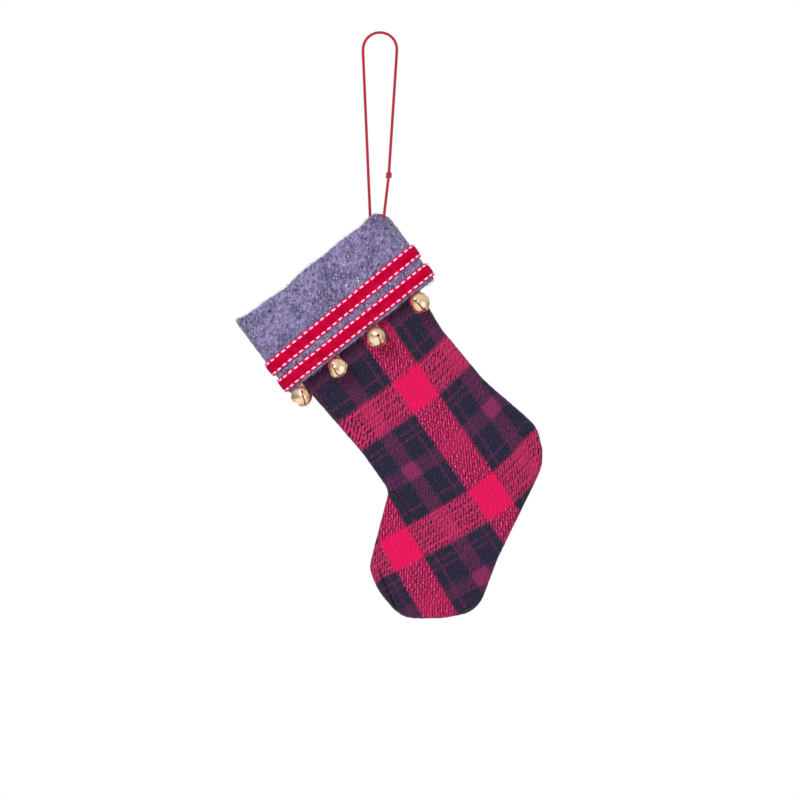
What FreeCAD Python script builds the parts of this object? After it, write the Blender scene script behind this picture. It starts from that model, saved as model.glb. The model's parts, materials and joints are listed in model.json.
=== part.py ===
"""Hanging Christmas stocking: a plaid leg, a felt cuff with two stitched ribbons,
four jingle bells on thread and a cord loop through one corner of the cuff.

Row frame, in millimetres: +Z up, -Y towards the front, origin at the inside top of the
cord loop, where a hook or twig carries it.  The stocking hangs tilted from a hole near
its cuff's corner.  Its own frame has X across the leg, Z up the leg and Y through it,
with its origin at the cuff's left end, so "down" below means -Z of that frame.
"""
import FreeCAD
import Part
import Sketcher
import math
import os

Vector = FreeCAD.Vector
Placement = FreeCAD.Placement
Rotation = FreeCAD.Rotation

doc = FreeCAD.newDocument("HangingStocking")
sheet = doc.addObject("Spreadsheet::Sheet", "Dimensions")

DIMENSIONS = [
    # how the stocking hangs
    ("tilt_angle", 37.0),           # the leg's lean from upright
    ("hang_drop", 81.9),            # from the loop's inside top to the cord hole
    ("hang_side", 1.6),             # the cord hole's offset across from the loop's top
    ("cord_hole_across", 77.5),     # the cord hole in the cuff's own frame
    ("cord_hole_down", 3.5),
    # cord
    ("cord_diameter", 1.3),
    ("cord_hole_diameter", 1.5),
    ("knot_diameter", 2.9),
    ("twig_radius", 6.8),           # what the loop hangs on
    ("felt_edge_bend", 1.9),        # the cord's bend where it enters the felt
    # felt cuff
    ("cuff_left", -1.4),
    ("cuff_right", 80.0),
    ("cuff_depth", 17.6),
    ("cuff_end_round", 7.5),
    ("cuff_top_left_down", 1.0),    # the cuff's top edge, which rises to the right
    ("cuff_top_right_down", -0.8),
    ("cuff_end_slack", 0.3),        # how far outside the felt its trimming cuts run
    ("cuff_hem_down", 39.4),
    ("hem_slope", 1.4),             # degrees that the hem rises to the right
    ("felt_thickness", 1.4),
    ("cuff_corner_round", 5.0),
    ("cuff_corner_down", 16.0),     # where the rounded corner's cut ends
    ("side_seam_top_down", 15.6),
    ("side_seam_above_hem", 3.0),
    # ribbons and their stitches
    ("ribbon_width", 6.6),
    ("ribbon_thickness", 1.1),
    ("ribbon_upper_down", 25.9),    # each ribbon's middle at the cuff's left end
    ("ribbon_upper_slope", 2.2),    # degrees that it rises to the right
    ("ribbon_lower_down", 34.9),
    ("ribbon_lower_slope", 1.4),
    ("stitch_length", 2.1),
    ("stitch_width", 0.8),
    ("stitch_height", 0.4),
    ("stitch_pitch", 3.17),
    ("stitch_inset", 0.8),          # from the ribbon's edge to the stitch's middle
    # leg
    ("mouth_down", 10.0),           # where the leg's cloth starts inside the cuff
    ("leg_half_depth", 6.6),
    ("leg_edge_round", 5.5),
    ("cloth_thickness", 1.0),
    ("mouth_seam_below", 1.0),      # from the mouth's edge to its seam's top
    ("mouth_seam_height", 4.0),
    ("seam_thread_diameter", 0.6),
    # bells
    ("bell_diameter", 9.0),
    ("bell_wall", 0.35),
    ("slit_width", 0.6),
    ("slit_hole_diameter", 1.2),
    ("slit_hole_rise", -0.6),       # the slit-end holes' height against the equator
    ("shank_ring_radius", 0.65),
    ("shank_wire_diameter", 0.4),
    ("shank_gap", 0.1),             # between the ring and the top of the shell
    ("pellet_diameter", 2.4),
    ("pellet_gap", 0.1),
    ("bell_cloth_gap", 0.15),
    # the loops of thread that carry the bells
    ("bell_thread_diameter", 0.4),
    ("bell_thread_hole", 0.6),
    ("bell_hole_above_hem", 0.7),
    ("bell_hook_below_hem", 0.8),
    ("bell_thread_half_width", 0.95),
    ("bell_thread_corner", 0.35),
    ("thread_wire_gap", 0.05),
]

BELL_ACROSS = [6.3, 26.4, 48.2, 72.1]       # each bell's thread hole along the hem
# How each bell has settled: its turn about its own axis, to the side and upright.
BELL_TURNS = [(10.0, 23.0, 0.0), (65.0, 11.0, 0.0), (10.0, 24.0, 20.0), (78.0, 34.0, 0.0)]

# The leg's outline in its own frame: (across, down, corner radius), from the mouth's
# left end round the instep, toe, sole and heel to the mouth's right end.
LEG_OUTLINE = [
    (3.2, 10.0, 0.0),
    (4.7, 40.1, 40.0),
    (7.5, 80.4, 53.9),
    (6.8, 100.0, 8.5),
    (-20.6, 122.4, 10.9),
    (-23.2, 133.3, 29.1),
    (-22.0, 149.3, 14.3),
    (-7.1, 160.2, 28.5),
    (6.8, 166.9, 13.5),
    (28.0, 153.7, 35.2),
    (71.0, 131.8, 21.5),
    (77.3, 117.5, 14.5),
    (71.2, 86.1, 51.2),
    (69.9, 56.4, 42.2),
    (76.0, 10.0, 0.0),
]

# The cord's route, from the knot up over the twig, down into the cuff's mouth, forward
# through the felt and up to the knot again.
KNOT_AT = Vector(3.9, -6.6, -62.2)
CORD_ROUTE = [
    KNOT_AT,
    Vector(7.65, 0.0, -4.0),
    Vector(3.2, 0.0, 0.65),
    Vector(-3.2, 0.0, 0.65),
    Vector(-7.65, 0.0, -4.0),
    Vector(-4.2, 1.6, -83.4),
    Vector(1.6, -0.2, -81.9),
    Vector(1.6, -9.4, -81.9),
    KNOT_AT,
]
TWIG_POINTS = (1, 2, 3, 4)
FELT_EDGE_POINT = 7


def fill_sheet():
    for row, (alias, value) in enumerate(DIMENSIONS, start=1):
        sheet.set("A%d" % row, alias)
        sheet.set("B%d" % row, "%g" % value)
        sheet.setAlias("B%d" % row, alias)
    doc.recompute()


def size(alias):
    return float(sheet.get(alias))


def own(across, down, forward=0.0):
    """A point of the stocking's own frame."""
    return Vector(across, -forward, -down)


def stocking_frame():
    """Hangs the stocking's own frame from its cord hole."""
    turn = Rotation(Vector(0, 1, 0), -size("tilt_angle"))
    hole = own(size("cord_hole_across"), size("cord_hole_down"))
    carried_at = Vector(size("hang_side"), 0, -size("hang_drop"))
    return Placement(carried_at - turn.multVec(hole), turn)


# ---------------------------------------------------------------- outlines and paths

def corner_arc(before, corner, after, radius):
    """Start, middle and end of the arc that rounds a corner."""
    inward = (corner - before).normalize()
    outward = (after - corner).normalize()
    half_turn = inward.getAngle(outward) / 2.0
    reach = radius * math.tan(half_turn)
    start = corner - inward * reach
    end = corner + outward * reach
    to_centre = (outward - inward).normalize()
    middle = corner + to_centre * (radius / math.cos(half_turn) - radius)
    return start, middle, end


def rounded_edges(points, radii, closed):
    """Straight runs joined by tangent arcs; a radius of 0 leaves a sharp corner."""
    count = len(points)
    arcs = []
    for index in range(count):
        at_end = not closed and index in (0, count - 1)
        if at_end or radii[index] == 0:
            arcs.append((points[index], None, points[index]))
        else:
            before = points[index - 1]
            after = points[(index + 1) % count]
            arcs.append(corner_arc(before, points[index], after, radii[index]))
    geometry = []
    for index in range(count):
        start, middle, end = arcs[index]
        if middle is not None:
            geometry.append(Part.Arc(start, middle, end))
        if closed or index < count - 1:
            geometry.append(Part.LineSegment(end, arcs[(index + 1) % count][0]))
    return geometry


def route_radii(points):
    """The largest fair radius at each corner of an open route."""
    radii = [0.0]
    for index in range(1, len(points) - 1):
        inward = points[index] - points[index - 1]
        outward = points[index + 1] - points[index]
        shorter = min(inward.Length, outward.Length)
        radii.append(0.45 * shorter / math.tan(inward.getAngle(outward) / 2.0))
    radii.append(0.0)
    return radii


def tube(geometry, radius):
    """A round tube along a path, and the path's length."""
    path = Part.Wire([piece.toShape() for piece in geometry])
    first = geometry[0]
    start = first.StartPoint
    direction = first.EndPoint - start
    section = Part.Wire(Part.makeCircle(radius, start, direction))
    return path.makePipeShell([section], True, False), path.Length


# ---------------------------------------------------------------- sketch helpers

def add_body(label):
    body = doc.addObject("PartDesign::Body", label)
    body.Label = label
    return body


def sketch_on(body, plane, name):
    sketch = body.newObject("Sketcher::SketchObject", name)
    for feature in body.Origin.OriginFeatures:
        if feature.Role == plane:
            sketch.AttachmentSupport = (feature, [""])
    sketch.MapMode = "FlatFace"
    return sketch


def flat(point):
    """A point of the XZ plane as a point of a sketch that lies on it."""
    return Vector(point.x, point.z, 0)


def draw_outline(sketch, corners, radii):
    """A closed outline on an XZ sketch."""
    points = [flat(corner) for corner in corners]
    for piece in rounded_edges(points, radii, True):
        sketch.addGeometry(piece, False)


def draw_rectangle(sketch, left, right, depth):
    """A rectangle from left to right, centred on the sketch's X axis, bound to the sheet."""
    half = sheet_value(depth) / 2.0
    x_low = sheet_value(left)
    x_high = sheet_value(right)
    corners = [Vector(x_low, -half, 0), Vector(x_high, -half, 0),
               Vector(x_high, half, 0), Vector(x_low, half, 0)]
    for index in range(4):
        sketch.addGeometry(Part.LineSegment(corners[index], corners[(index + 1) % 4]), False)
    for index in range(4):
        following = (index + 1) % 4
        sketch.addConstraint(Sketcher.Constraint("Coincident", index, 2, following, 1))
    for index in (0, 2):
        sketch.addConstraint(Sketcher.Constraint("Horizontal", index))
    for index in (1, 3):
        sketch.addConstraint(Sketcher.Constraint("Vertical", index))
    named = [("low_x", "DistanceX", 0, 1, x_low, left),
             ("high_x", "DistanceX", 1, 1, x_high, right),
             ("half_back", "DistanceY", 2, 1, half, "(%s) / 2" % depth),
             ("half_front", "DistanceY", 0, 1, -half, "-(%s) / 2" % depth)]
    for name, kind, line, end, value, expression in named:
        number = sketch.addConstraint(Sketcher.Constraint(kind, -1, 1, line, end, value))
        sketch.renameConstraint(number, name)
        sketch.setExpression("Constraints." + name, expression)


def sheet_value(expression):
    """The value of an expression of sheet cells, as the sketches first need it."""
    return float(sheet.evalExpression(expression.replace("Dimensions.", "")))


def draw_circle(sketch, centre, diameter):
    """A circle at a fixed place of an XZ sketch whose diameter follows a cell."""
    circle = Part.Circle(Vector(centre.x, centre.z, 0), Vector(0, 0, 1), size(diameter) / 2.0)
    index = sketch.addGeometry(circle, False)
    number = sketch.addConstraint(Sketcher.Constraint("Diameter", index, size(diameter)))
    sketch.renameConstraint(number, "diameter_%d" % index)
    sketch.setExpression("Constraints.diameter_%d" % index, "Dimensions." + diameter)


def edges_where(feature, test):
    """Names of a feature's edges that pass a test."""
    names = []
    for number, edge in enumerate(feature.Shape.Edges, start=1):
        if test(edge):
            names.append("Edge%d" % number)
    return names


def faces_where(feature, test):
    names = []
    for number, face in enumerate(feature.Shape.Faces, start=1):
        if test(face):
            names.append("Face%d" % number)
    return names


def pad(body, sketch, length, reversed_pad=False, midplane=False):
    feature = body.newObject("PartDesign::Pad", sketch.Name + "_pad")
    feature.Profile = sketch
    feature.setExpression("Length", length)
    feature.Reversed = reversed_pad
    feature.Midplane = midplane
    doc.recompute()
    return feature


def fillet(body, base, edges, radius):
    feature = body.newObject("PartDesign::Fillet", base.Name + "_round")
    feature.Base = (base, edges)
    feature.setExpression("Radius", radius)
    doc.recompute()
    return feature


def hollow(body, base, open_faces, wall):
    """Keeps a wall inside the faces that stay."""
    feature = body.newObject("PartDesign::Thickness", base.Name + "_wall")
    feature.Base = (base, open_faces)
    feature.Reversed = True
    feature.setExpression("Value", wall)
    doc.recompute()
    assert feature.Shape.Volume < base.Shape.Volume, "the wall went outwards"
    return feature


def pocket(body, sketch, length, reversed_pocket=False, midplane=False):
    """Cuts a pocket and makes sure that it cut something."""
    before = body.Tip.Shape.Volume
    feature = body.newObject("PartDesign::Pocket", sketch.Name + "_pocket")
    feature.Profile = sketch
    feature.setExpression("Length", length)
    feature.Reversed = reversed_pocket
    feature.Midplane = midplane
    doc.recompute()
    assert feature.Shape.Volume < before - 1e-3, feature.Name + " cut nothing"
    return feature


# ---------------------------------------------------------------- the stocking

def upright_ring(label, left, right, depth, end_round, top, height, wall):
    """A hollow band with rounded ends, open at its top and bottom."""
    body = add_body(label)
    plan = sketch_on(body, "XY_Plane", label + "_plan")
    plan.setExpression(".AttachmentOffset.Base.z", top)
    draw_rectangle(plan, left, right, depth)
    doc.recompute()
    block = pad(body, plan, height, reversed_pad=True)
    upright = edges_where(block, lambda edge: abs(edge.tangentAt(edge.FirstParameter).z) > 0.9)
    rounded = fillet(body, block, upright, end_round)
    ends = faces_where(rounded, lambda face: abs(face.normalAt(0, 0).z) > 0.9)
    hollow(body, rounded, ends, wall)
    return body


def leg_panel(label, to_front):
    """One moulded half of the leg, open at the mouth and at the side seam."""
    body = add_body(label)
    outline = sketch_on(body, "XZ_Plane", label + "_outline")
    corners = [own(across, down) for across, down, radius in LEG_OUTLINE]
    draw_outline(outline, corners, [radius for across, down, radius in LEG_OUTLINE])
    block = pad(body, outline, "Dimensions.leg_half_depth", reversed_pad=not to_front)
    outer = -size("leg_half_depth") if to_front else size("leg_half_depth")
    mouth = -size("mouth_down")

    def on_outer_rim(edge):
        middle = edge.valueAt((edge.FirstParameter + edge.LastParameter) / 2.0)
        return abs(middle.y - outer) < 1e-4 and middle.z < mouth - 1e-3

    rounded = fillet(body, block, edges_where(block, on_outer_rim), "Dimensions.leg_edge_round")

    def is_open(face):
        at_seam = abs(face.BoundBox.YMin) < 1e-4 and abs(face.BoundBox.YMax) < 1e-4
        at_mouth = abs(face.BoundBox.ZMin - mouth) < 1e-4
        return at_seam or at_mouth

    hollow(body, rounded, faces_where(rounded, is_open), "Dimensions.cloth_thickness")
    return body


def cuff_band():
    """The felt cuff: its top corner rounded, its hem sloping, with holes for threads and cord."""
    top_room = 3.0
    body = upright_ring("cuff_band", "Dimensions.cuff_left", "Dimensions.cuff_right",
                        "Dimensions.cuff_depth", "Dimensions.cuff_end_round", str(top_room),
                        "Dimensions.cuff_hem_down + %g" % (2 * top_room),
                        "Dimensions.felt_thickness")
    left = size("cuff_left") - top_room
    right = size("cuff_right") + top_room
    top_trim = sketch_on(body, "XZ_Plane", "cuff_top_trim")
    corner_round = size("cuff_corner_round")
    corner_across = size("cuff_right") + size("cuff_end_slack")
    corner_down = size("cuff_corner_down")
    top_corners = [own(left, size("cuff_top_left_down")),
                   own(corner_across, size("cuff_top_right_down")),
                   own(corner_across, corner_down), own(right, corner_down),
                   own(right, -2 * top_room), own(left, -2 * top_room)]
    draw_outline(top_trim, top_corners, [0, corner_round, 0, 0, 0, 0])
    pocket(body, top_trim, "Dimensions.cuff_depth * 2", midplane=True)
    hem_trim = sketch_on(body, "XZ_Plane", "cuff_hem_trim")
    low = size("cuff_hem_down") + 3 * top_room
    hem_corners = [own(left, hem_down(left)), own(right, hem_down(right)),
                   own(right, low), own(left, low)]
    draw_outline(hem_trim, hem_corners, [0, 0, 0, 0])
    pocket(body, hem_trim, "Dimensions.cuff_depth * 2", midplane=True)
    cord_hole = sketch_on(body, "XZ_Plane", "cuff_cord_hole")
    hole_at = own(size("cord_hole_across"), size("cord_hole_down"))
    draw_circle(cord_hole, hole_at, "cord_hole_diameter")
    pocket(body, cord_hole, "Dimensions.cuff_depth", reversed_pocket=True)
    thread_holes = sketch_on(body, "XZ_Plane", "cuff_thread_holes")
    for across in BELL_ACROSS:
        draw_circle(thread_holes, thread_hole(across), "bell_thread_hole")
    pocket(body, thread_holes, "Dimensions.cuff_depth", reversed_pocket=True)
    return body


def hem_down(across):
    return size("cuff_hem_down") - across * math.tan(math.radians(size("hem_slope")))


def thread_hole(across):
    """The middle of a bell's thread hole in the felt, in the stocking's own frame."""
    return own(across, hem_down(across) - size("bell_hole_above_hem"))


def ribbon_frame(label):
    """A ribbon's own frame: its middle at the cuff's left end, rising to the right."""
    slope = Rotation(Vector(0, 1, 0), -size(label + "_slope"))
    return Placement(own(0, size(label + "_down")), slope)


def ribbon(label):
    """A ribbon round the cuff, its middle at its own frame's XY plane."""
    outside = "Dimensions.cuff_%s %s Dimensions.ribbon_thickness"
    body = upright_ring(label, outside % ("left", "-"), outside % ("right", "+"),
                        "Dimensions.cuff_depth + 2 * Dimensions.ribbon_thickness",
                        "Dimensions.cuff_end_round + Dimensions.ribbon_thickness",
                        "Dimensions.ribbon_width / 2", "Dimensions.ribbon_width",
                        "Dimensions.ribbon_thickness")
    body.Placement = ribbon_frame(label)
    return body


def ribbon_face_outline():
    """The ribbon's outer face seen from above, as straight runs and end arcs."""
    left = size("cuff_left") - size("ribbon_thickness")
    right = size("cuff_right") + size("ribbon_thickness")
    half = size("cuff_depth") / 2.0 + size("ribbon_thickness")
    radius = size("cuff_end_round") + size("ribbon_thickness")
    corners = [Vector(left, -half, 0), Vector(right, -half, 0),
               Vector(right, half, 0), Vector(left, half, 0)]
    return rounded_edges(corners, [radius] * 4, True)


def stitch_places():
    """Where stitches sit along the ribbon's outer face, with the way they point."""
    outline = Part.Wire([piece.toShape() for piece in ribbon_face_outline()])
    count = round(outline.Length / size("stitch_pitch"))
    pitch = outline.Length / count
    places = []
    travelled = 0.0
    reach = pitch / 2.0
    for edge in outline.OrderedEdges:
        while reach <= travelled + edge.Length and len(places) < count:
            along = edge.getParameterByLength(reach - travelled)
            places.append((edge.valueAt(along), edge.tangentAt(along)))
            reach += pitch
        travelled += edge.Length
    return places


def stitch_rows(ribbon_label):
    """Both edge rows of a ribbon's saddle stitch, as separate small bars of thread."""
    length = size("stitch_length")
    width = size("stitch_width")
    height = size("stitch_height")
    row = size("ribbon_width") / 2.0 - size("stitch_inset")
    bars = []
    for point, along in stitch_places():
        outward = Vector(along.y, -along.x, 0)
        turn = Rotation(along, Vector(0, 0, 1), outward, "XZY")
        for side in (-row, row):
            bar = Part.makeBox(length, width, height, Vector(-length / 2, -width / 2, -height / 2))
            bar.Placement = Placement(point + Vector(0, 0, side), turn)
            bars.append(bar)
    return add_shape(ribbon_label + "_stitches", Part.makeCompound(bars),
                     ribbon_frame(ribbon_label))


def add_shape(label, shape, placement=Placement()):
    feature = doc.addObject("Part::Feature", label)
    feature.Label = label
    feature.Shape = shape
    feature.Placement = placement
    return feature


def inset_leg_outline(inset):
    """The leg's outline, drawn in by a wall, without the line across the mouth."""
    corners = [own(across, down) for across, down, radius in LEG_OUTLINE]
    whole = Part.Face(Part.Wire([piece.toShape() for piece in rounded_edges(
        corners, [radius for across, down, radius in LEG_OUTLINE], True)]))
    inner = whole.makeOffset2D(-inset)
    kept = []
    for edge in inner.Edges:
        middle = edge.valueAt((edge.FirstParameter + edge.LastParameter) / 2.0)
        if middle.z < -size("mouth_down") - 2 * inset:
            kept.append(edge)
    return Part.Wire(Part.__sortEdges__(kept))


def leg_seam_thread():
    """The seam's line of thread, inside the leg where its two panels meet."""
    radius = size("seam_thread_diameter") / 2.0
    path = inset_leg_outline(size("cloth_thickness") + radius)
    start = path.OrderedEdges[0]
    direction = start.tangentAt(start.FirstParameter)
    section = Part.Wire(Part.makeCircle(radius, start.valueAt(start.FirstParameter), direction))
    return add_shape("leg_seam_thread", path.makePipeShell([section], True, False))


def cuff_side_seam_thread():
    """A line of thread up the inside of each end of the cuff."""
    radius = size("seam_thread_diameter") / 2.0
    inset = size("felt_thickness") + radius
    bottom_down = size("cuff_hem_down") - size("side_seam_above_hem")
    length = bottom_down - size("side_seam_top_down")
    lines = []
    for across in (size("cuff_left") + inset, size("cuff_right") - inset):
        bottom = own(across, bottom_down)
        lines.append(Part.makeCylinder(radius, length, bottom, Vector(0, 0, 1)))
    return add_shape("cuff_side_seam_thread", Part.makeCompound(lines))


# ---------------------------------------------------------------- bells

class BellPlaces:
    """The fixed points of one bell in the row frame, hanging against the cloth."""

    def __init__(self, across, frame):
        hole = frame.multVec(thread_hole(across))
        felt_middle = -size("cuff_depth") / 2.0 + size("felt_thickness") / 2.0
        self.hole = Vector(hole.x, felt_middle, hole.z)
        slope = math.radians(size("tilt_angle") + size("hem_slope"))
        below_hole = size("bell_hole_above_hem") / math.cos(slope) + size("bell_hook_below_hem")
        self.hook = self.hole - Vector(0, 0, below_hole)
        radius = size("bell_diameter") / 2.0
        reach = radius + 2 * size("shank_ring_radius") + size("shank_gap")
        forward = size("leg_half_depth") + size("bell_cloth_gap") + radius + felt_middle
        self.lean = math.asin(forward / reach)
        self.up = Vector(0, math.sin(self.lean), math.cos(self.lean))
        self.centre = self.hook - self.up * reach


def bell_thread(number, places):
    """A loop of thread through the felt and the bell's ring."""
    half = size("bell_thread_half_width")
    radius = size("bell_thread_diameter") / 2.0
    wire_radius = size("shank_wire_diameter") / 2.0
    drop = places.hole.z - places.hook.z + radius + wire_radius + size("thread_wire_gap")
    corners = [Vector(0, -half, 0), Vector(0, half, 0),
               Vector(0, half, -drop), Vector(0, -half, -drop)]
    geometry = rounded_edges(corners, [size("bell_thread_corner")] * 4, True)
    from_straight_run = geometry[1:] + geometry[:1]
    loop, length = tube(from_straight_run, radius)
    return add_shape("bell_thread_%d" % number, loop, Placement(places.hole, Rotation()))


def bell_shell(number, places, turns):
    """A hollow ball, slit crosswise from below up to a small round hole at each slit's end."""
    body = add_body("bell_shell_%d" % number)
    radius = size("bell_diameter") / 2.0
    half_ring = sketch_on(body, "XZ_Plane", "bell_%d_half_ring" % number)
    inner = radius - size("bell_wall")
    up = math.pi / 2.0
    for arc_radius in (radius, inner):
        circle = Part.Circle(Vector(), Vector(0, 0, 1), arc_radius)
        half_ring.addGeometry(Part.ArcOfCircle(circle, -up, up), False)
    half_ring.addGeometry(Part.LineSegment(Vector(0, inner, 0), Vector(0, radius, 0)), False)
    half_ring.addGeometry(Part.LineSegment(Vector(0, -inner, 0), Vector(0, -radius, 0)), False)
    ball = body.newObject("PartDesign::Revolution", "bell_%d_ball" % number)
    ball.Profile = half_ring
    ball.ReferenceAxis = (half_ring, ["V_Axis"])
    ball.Angle = 360
    doc.recompute()
    for plane in ("XZ_Plane", "YZ_Plane"):
        sketch = sketch_on(body, plane, "bell_%d_slit_%s" % (number, plane[:2]))
        draw_slit(sketch, radius)
        pocket(body, sketch, "Dimensions.bell_diameter * 2", midplane=True)
    spin, aside, upright = turns
    turn = Rotation(Vector(0, 1, 0), -aside)
    turn = turn.multiply(Rotation(Vector(1, 0, 0), upright))
    turn = turn.multiply(Rotation(Vector(0, 0, 1), places.up))
    turn = turn.multiply(Rotation(Vector(0, 0, 1), spin))
    body.Placement = Placement(places.centre, turn)
    return body


def draw_slit(sketch, radius):
    """A slit from below the ball up to a round hole, as one outline."""
    half_slit = size("slit_width") / 2.0
    hole_radius = size("slit_hole_diameter") / 2.0
    centre = Vector(0, size("slit_hole_rise"), 0)
    meet = math.sqrt(hole_radius ** 2 - half_slit ** 2)
    low = -2.0 * radius
    left = Vector(-half_slit, centre.y - meet, 0)
    right = Vector(half_slit, centre.y - meet, 0)
    sketch.addGeometry(Part.Arc(right, centre + Vector(0, hole_radius, 0), left), False)
    sketch.addGeometry(Part.LineSegment(left, Vector(-half_slit, low, 0)), False)
    sketch.addGeometry(Part.LineSegment(Vector(-half_slit, low, 0), Vector(half_slit, low, 0)), False)
    sketch.addGeometry(Part.LineSegment(Vector(half_slit, low, 0), right), False)


def bell_shank(number, places):
    """The bell's wire ring, standing on the shell across the thread."""
    ring = doc.addObject("Part::Torus", "bell_shank_%d" % number)
    ring.Label = "bell_shank_%d" % number
    ring.setExpression("Radius1", "Dimensions.shank_ring_radius")
    ring.setExpression("Radius2", "Dimensions.shank_wire_diameter / 2")
    normal = Vector(1, 0, 0).cross(places.up)
    centre = places.hook - places.up * size("shank_ring_radius")
    ring.Placement = Placement(centre, Rotation(Vector(0, 0, 1), normal))
    return ring


def bell_pellet(number, places):
    """The loose ball that rings the bell, lying at its lowest point."""
    pellet = doc.addObject("Part::Sphere", "bell_pellet_%d" % number)
    pellet.Label = "bell_pellet_%d" % number
    pellet.setExpression("Radius", "Dimensions.pellet_diameter / 2")
    inner = size("bell_diameter") / 2.0 - size("bell_wall")
    drop = inner - size("pellet_diameter") / 2.0 - size("pellet_gap")
    pellet.Placement = Placement(places.centre - Vector(0, 0, drop), Rotation())
    return pellet


# ---------------------------------------------------------------- the cord

def hang_knot():
    """The knot that joins the cord's ends, flat where the cord meets it."""
    knot = doc.addObject("Part::Sphere", "hang_knot")
    knot.Label = "hang_knot"
    knot.setExpression("Radius", "Dimensions.knot_diameter / 2")
    knot.setExpression("Angle1", "-acos(Dimensions.cord_diameter / Dimensions.knot_diameter)")
    knot.setExpression("Angle2", "acos(Dimensions.cord_diameter / Dimensions.knot_diameter)")
    along = CORD_ROUTE[1] - CORD_ROUTE[-2]
    knot.Placement = Placement(KNOT_AT, Rotation(Vector(0, 0, 1), along))
    return knot


def hang_cord():
    """The cord's tube, from the knot's top round to the knot's bottom."""
    radius = size("cord_diameter") / 2.0
    flat_reach = math.sqrt((size("knot_diameter") / 2.0) ** 2 - radius ** 2)
    points = list(CORD_ROUTE)
    points[0] = KNOT_AT + (points[1] - KNOT_AT).normalize() * flat_reach
    points[-1] = KNOT_AT + (points[-2] - KNOT_AT).normalize() * flat_reach
    radii = route_radii(points)
    for index in TWIG_POINTS:
        radii[index] = size("twig_radius") + radius
    radii[FELT_EDGE_POINT] = size("felt_edge_bend")
    shape, length = tube(rounded_edges(points, radii, False), radius)
    print("cord radii:", ["%.2f" % value for value in radii[1:-1]])
    section_times_length = math.pi * radius ** 2 * length
    print("cord length %.1f, volume %.2f, section times length %.2f"
          % (length, shape.Volume, section_times_length))
    assert abs(shape.Volume / section_times_length - 1) < 0.01
    return add_shape("hang_cord", shape)


# ---------------------------------------------------------------- build and write

def build():
    frame = stocking_frame()
    parts = [
        leg_panel("leg_front_panel", True),
        leg_panel("leg_back_panel", False),
        leg_seam_thread(),
        cuff_band(),
        cuff_side_seam_thread(),
        upright_ring("mouth_seam_thread",
                     "Dimensions.cuff_left + Dimensions.felt_thickness",
                     "Dimensions.cuff_right - Dimensions.felt_thickness",
                     "Dimensions.cuff_depth - 2 * Dimensions.felt_thickness",
                     "Dimensions.cuff_end_round - Dimensions.felt_thickness",
                     "-Dimensions.mouth_down - Dimensions.mouth_seam_below",
                     "Dimensions.mouth_seam_height",
                     "Dimensions.cuff_depth / 2 - Dimensions.felt_thickness"
                     " - Dimensions.leg_half_depth"),
        ribbon("ribbon_upper"),
        ribbon("ribbon_lower"),
        stitch_rows("ribbon_upper"),
        stitch_rows("ribbon_lower"),
    ]
    for part in parts:
        part.Placement = frame.multiply(part.Placement)
    parts += [hang_cord(), hang_knot()]
    for index, across in enumerate(BELL_ACROSS):
        number = index + 1
        places = BellPlaces(across, frame)
        parts.append(bell_thread(number, places))
        parts.append(bell_shell(number, places, BELL_TURNS[index]))
        parts.append(bell_shank(number, places))
        parts.append(bell_pellet(number, places))
        print("bell %d: hole %s hook %s centre %s lean %.1f" % (
            number, rounded(places.hole), rounded(places.hook), rounded(places.centre),
            math.degrees(places.lean)))
    return parts


def rounded(vector):
    return tuple(round(value, 2) for value in vector)


def check(parts):
    doc.recompute()
    for item in doc.Objects:
        broken = {"Invalid", "Error"} & set(item.State)
        assert not broken, "%s is %s" % (item.Name, item.State)
    for part in parts:
        assert not part.Shape.isNull() and part.Shape.isValid(), part.Label


def write(parts):
    os.makedirs("parts", exist_ok=True)
    for part in parts:
        part.Shape.exportStep("parts/%s.step" % part.Label)
        solids = len(part.Shape.Solids)
        print("%-24s %8.1f mm3, %d solids" % (part.Label, part.Shape.Volume, solids))


fill_sheet()
parts = build()
check(parts)
write(parts)
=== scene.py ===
"""The looks of a hanging stocking ornament: a stuffed plaid flannel leg, a heather felt cuff
with two stitched ribbons, four jingle bells on thread and a twisted cord loop.

Blender's lengths are metres in the row frame.  What hangs from the cuff is laid out in the
stocking's own frame, in millimetres: (across the leg, forward out of it, down along it).
"""
import bmesh
import bpy
import json
import math
import random
import numpy as np
from mathutils import Matrix, Vector, noise
from mathutils.geometry import delaunay_2d_cdt


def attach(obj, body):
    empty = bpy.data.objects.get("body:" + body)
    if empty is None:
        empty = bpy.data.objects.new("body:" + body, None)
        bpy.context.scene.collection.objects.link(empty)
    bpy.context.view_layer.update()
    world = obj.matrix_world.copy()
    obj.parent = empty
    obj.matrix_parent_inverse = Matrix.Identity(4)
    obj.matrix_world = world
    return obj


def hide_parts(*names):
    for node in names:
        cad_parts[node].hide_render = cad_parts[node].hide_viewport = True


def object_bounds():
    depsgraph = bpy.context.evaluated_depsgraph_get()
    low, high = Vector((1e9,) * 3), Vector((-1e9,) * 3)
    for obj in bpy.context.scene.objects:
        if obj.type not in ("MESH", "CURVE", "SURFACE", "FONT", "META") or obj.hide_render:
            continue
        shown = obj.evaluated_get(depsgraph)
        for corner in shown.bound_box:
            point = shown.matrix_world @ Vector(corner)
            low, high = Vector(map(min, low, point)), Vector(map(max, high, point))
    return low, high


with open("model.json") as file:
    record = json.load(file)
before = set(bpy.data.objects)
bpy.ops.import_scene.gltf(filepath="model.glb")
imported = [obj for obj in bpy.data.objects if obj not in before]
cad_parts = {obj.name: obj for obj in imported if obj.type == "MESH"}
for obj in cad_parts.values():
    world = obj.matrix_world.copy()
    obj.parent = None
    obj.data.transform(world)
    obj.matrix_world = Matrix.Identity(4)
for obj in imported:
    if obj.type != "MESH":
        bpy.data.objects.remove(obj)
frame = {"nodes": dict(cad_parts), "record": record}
cad_low, cad_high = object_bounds()
bpy.context.scene.view_settings.view_transform = "Standard"

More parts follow.
